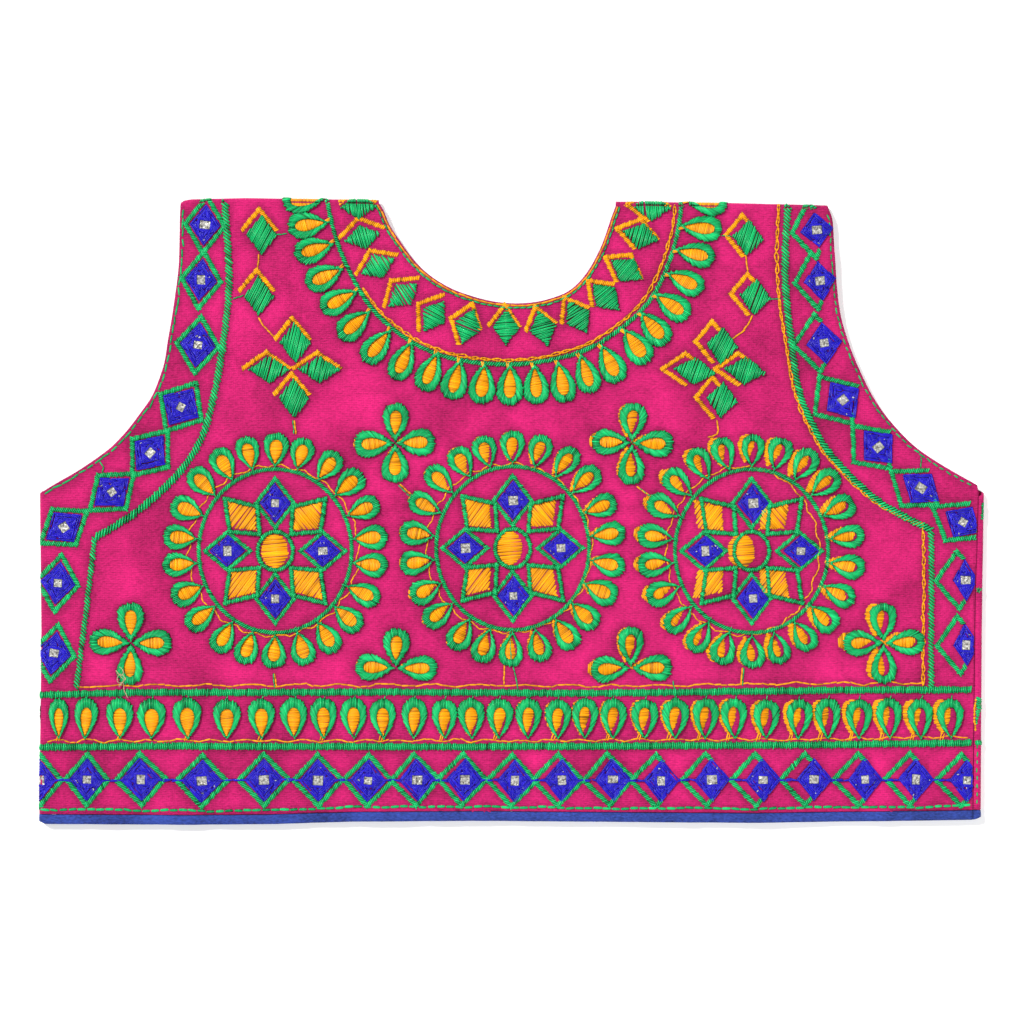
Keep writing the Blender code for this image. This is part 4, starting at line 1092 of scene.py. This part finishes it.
GREEN_THREADS = [
    [(-119.5, 140.5), (-113.7, 140.8)], [(-141.7, 107.6), (-135.8, 110.0)],
    [(106.6, 140.2), (111.8, 139.6)], [(129.9, 107.9), (136.8, 107.6)], [(-111.0, 46.5), (-110.4, 38.9)],
    [(-57.4, 13.4), (-51.6, 7.8)], [(64.3, 12.2), (70.6, 7.5)], [(-121.0, -82.1), (-120.0, -89.5)],
    [(117.8, -79.2), (117.1, -88.3)], [(82.0, -85.8), (82.7, -90.7)],
    [(-0.8, -59.6), (-0.4, -72.0), (2.0, -84.0), (3.6, -92.0)],
    [(-208.8, 25.6), (-206.8, 23.6), (-207.6, 19.8)], [(207.8, 27.7), (207.9, 22.2)],
]

RING_THREAD_WIDE = {-120: 43.2, 0: 42.0, 120: 38.8}
RING_THREAD_HIGH = {-120: 43.2, 0: 42.8, 120: 42.6}
RING_THREAD_SHIFT = {-120: -0.9, 0: -1.9, 120: -4.5}


def chain(line, half=0.55):
    """Chain stitch: two plies that cross, run side by side for a loop, and cross again."""
    along = distances(line)
    knots = np.linspace(0, along[-1], 3 * round(along[-1] / 6.0) + 1)
    rows = []
    for side in (-half, half):
        plies = [beside(line, off).T for off in (0.0, side, side)]
        points = np.array([
            [np.interp(knot, along, axis) for axis in plies[k % 3]] for k, knot in enumerate(knots)
        ])
        points = points + chance.normal(0, 0.2, points.shape)
        onward = (points[1:] - points[:-1]) * 0.12
        rows.append(stitch_rows(points[:-1] - onward, points[1:] + onward, 0.85, 0.7, 0.1, 0.15))
    return np.vstack(rows)


def wavy(start, end, heights, swing, period):
    """A line along the hem that wanders up and down."""
    x = span(start, end, 2.5)
    bow = swing * np.sin(x * 2 * math.pi / period) + chance.normal(0, 0.3, len(x))
    return np.column_stack([x, at(heights, x) + bow])


neck_chain = beside(neck_cord, 2.2)[25:-2]
neck_chain = neck_chain + np.linspace(0, 1, len(neck_chain))[:, None] * (-0.9, 0)
green, orange = [], []
dashes = span(-239, 233, 4)
above_binding = at(HEM, dashes) + BINDING_WIDTH + 2.4 + 0.5 * unevenness(dashes, 0 * dashes, 11, 6)
green.append(running(np.column_stack([dashes, above_binding]), 4.6, 0.1, 1.5, 0.7, spread=0.2))
orange.append(chain(neck_chain))
orange.append(chain(rounded(CHAIN_ARM, 2)))
above_cord = {x: y + 3.6 for x, y in UPPER_HEM_CORD.items()}
orange.append(running(wavy(-221, 209, above_cord, 0.6, 23), 4.0, -0.5, 0.85, 0.45))
under_petals = {x: y + 3.0 for x, y in LOWER_HEM_CORD.items()}
orange.append(running(wavy(-236, 232, under_petals, 0.7, 15.6), 3.6, -0.5, 0.8, 0.45))
for x, y in MEDALLIONS:
    turn = np.linspace(0, 2 * math.pi, 8 * MEDALLION_PETALS + 1)
    bow = 0.9 * np.sin(MEDALLION_PETALS * turn) + chance.normal(0, 0.25, len(turn))
    wide, high, shift = (at(row, x) for row in (RING_THREAD_WIDE, RING_THREAD_HIGH, RING_THREAD_SHIFT))
    travelled = np.column_stack([x + shift + (wide + bow) * np.cos(turn), y + (high + bow) * np.sin(turn)])
    orange.append(running(travelled, 3.0, -0.5, 0.75, 0.45, 0.1))
    for k in range(MEDALLION_PETALS):
        tie = spoke(360 * k / MEDALLION_PETALS) * (RING_HALF + [[-1.4], [2.0]]) + (x, y)
        green.append(running(tie, 3.4, 0, 0.55, 0.5, 0.85, 0.2))
for line in ORANGE_THREADS:
    orange.append(running(rounded(line, 2), 3.2, -0.5, 0.9, 0.5, 0.2))
for line in GREEN_THREADS:
    green.append(running(rounded(line, 2), 3.2, -0.4, 0.7, 0.4, 0.3))
green.append(running(beside(left_arm[2:-2], 1.6), 4.8, 0.2, 1.1, wander=0.3))
green.append(running(beside(right_arm[2:-2], 1.7), 3.4, 0.6, 0.9, wander=0.25))
sew("loose_orange", orange, orange_thread, end_shade=0.12)
sew("loose_green", green, green_thread, end_shade=0.3)
undyed_thread = thread_finish("undyed_thread", (0.50, 0.36, 0.22), 0.5, 0.4)
turn = np.linspace(0, 6 * math.pi, 49)
across = -199.0 + turn / 9 + 2.2 * np.sin(turn)
tangle = np.column_stack([across, -80.5 - turn / 2.6 + 2.0 * np.cos(1.3 * turn)])
tangle = np.vstack([tangle, (-196.4, -90.5), (-194.6, -94.6)])
sew("loose_undyed", [running(tangle, 1.5, -0.5, 0.5, 0.5, 1.1, 0.1)], undyed_thread, end_shade=0.1)

# Right side seam: the stitching runs over the seam onto the narrow strip of the front that
# turns up, with half a petal and its orange edge, the ends of two cords, green dashes and a
# knot with loose ends.


def on_strip(points):
    """Flat places on the right front for places seen on top, at its turned-up edge."""
    x, y = np.asarray(points, float).T
    return np.column_stack([turned_up(x, y), y])


green = [
    running(on_strip([(236.4, -118.0), (236.2, -150.0)]), 2.4, 1.4, 0.8, 0.4),
    filled(on_strip([(235.4, -93), (238.6, -94.5), (238.6, -100), (236.2, -108), (235.3, -111)]), 20, 0.8),
    satin(on_strip([(235.2, -117.4), (238.6, -117.2)]), 3.0, 8, 0.7),
    satin(on_strip([(239.0, 4.5), (238.8, -4.0)]), 1.8, 20, 0.6),
]
for turn in (10, 70, 130, 200, 260, 320):
    loose = turned([(0, 0), (1.6, 0.5)], turn, (237.0, -39.8))
    green.append(running(on_strip(loose), 1.7, 0, 0.6, 0.8, 0.1))
sew("side_seam_green", green, green_thread, lay_front)
petal_edge = on_strip([(235.9, -94.5), (234.9, -99.0), (234.8, -104.0), (235.6, -111.5)])
sew("side_seam_orange", [running(petal_edge, 2.0, -0.4, 1.1, 0.6)], orange_thread, lay_front, 0.3)

# Foil: the crumpled squares and torn flecks of all the mirrors. They are thin silver film that
# only the stitches over their edges hold, and are one piece here.
mesh = bpy.data.meshes.new("foil_plates")
foil_plates.to_mesh(mesh)
foil_plates.free()
add_piece("foil_plates", mesh, foil)

# Painted shade beside the stitching: the cloth of the back is painted darker near the stitches, by how near
# each of its points is to a stitch.
PAINTED_SHADE_REACH = 0.0019
sewn = np.vstack(stitched)
tree = kdtree.KDTree(len(sewn))
for index, place in enumerate(sewn):
    tree.insert(place, index)
tree.balance()
mesh = back_cloth.data
stitch_shade = [math.exp(-((tree.find(vert.co)[2] / PAINTED_SHADE_REACH) ** 2)) for vert in mesh.vertices]
mesh.attributes.new("painted_stitch_shade", "FLOAT", "POINT").data.foreach_set("value", stitch_shade)


# Floor and light: the jacket lies on a plain white sheet, as in a cut-out picture. Two soft
# lamps and a white sky light it from above, mostly from the upper left.
bpy.ops.mesh.primitive_plane_add(size=12, location=(0, 0, -0.0003))
floor = bpy.context.object
floor.name = "floor"
white = new_finish("white_floor", {
    "Base Color": (0.95, 0.95, 0.95, 1), "Roughness": 0.9, "Emission Color": (1, 1, 1, 1),
    "Emission Strength": 0.13,
})[0]
floor.data.materials.append(white)
world = bpy.data.worlds.new("studio")
bpy.context.scene.world = world
world.use_nodes = True
set_inputs(world.node_tree.nodes["Background"], {"Color": (1, 1, 1, 1), "Strength": 0.25})
for name, place, size, power in (
    ("key", (-4.6, 4.6, 5.2), 1.4, 980), ("fill", (1.5, -1.7, 2.3), 1.2, 72),
):
    lamp = bpy.data.lights.new(name, "AREA")
    lamp.size = size
    lamp.energy = power
    light = bpy.data.objects.new(name, lamp)
    light.location = place
    light.rotation_euler = (-Vector(place)).to_track_quat("-Z", "Y").to_euler()
    bpy.context.collection.objects.link(light)

# Camera: straight above the garment, far off and with a long lens, as a picture of clothes
# laid flat is taken.
lens = bpy.data.cameras.new("camera")
lens.lens = 90
lens.sensor_width = 36
camera = bpy.data.objects.new("camera", lens)
camera.location = (0.00025, -0.00025, 1.303)
bpy.context.collection.objects.link(camera)
bpy.context.scene.camera = camera
bpy.context.scene.view_settings.view_transform = "Standard"
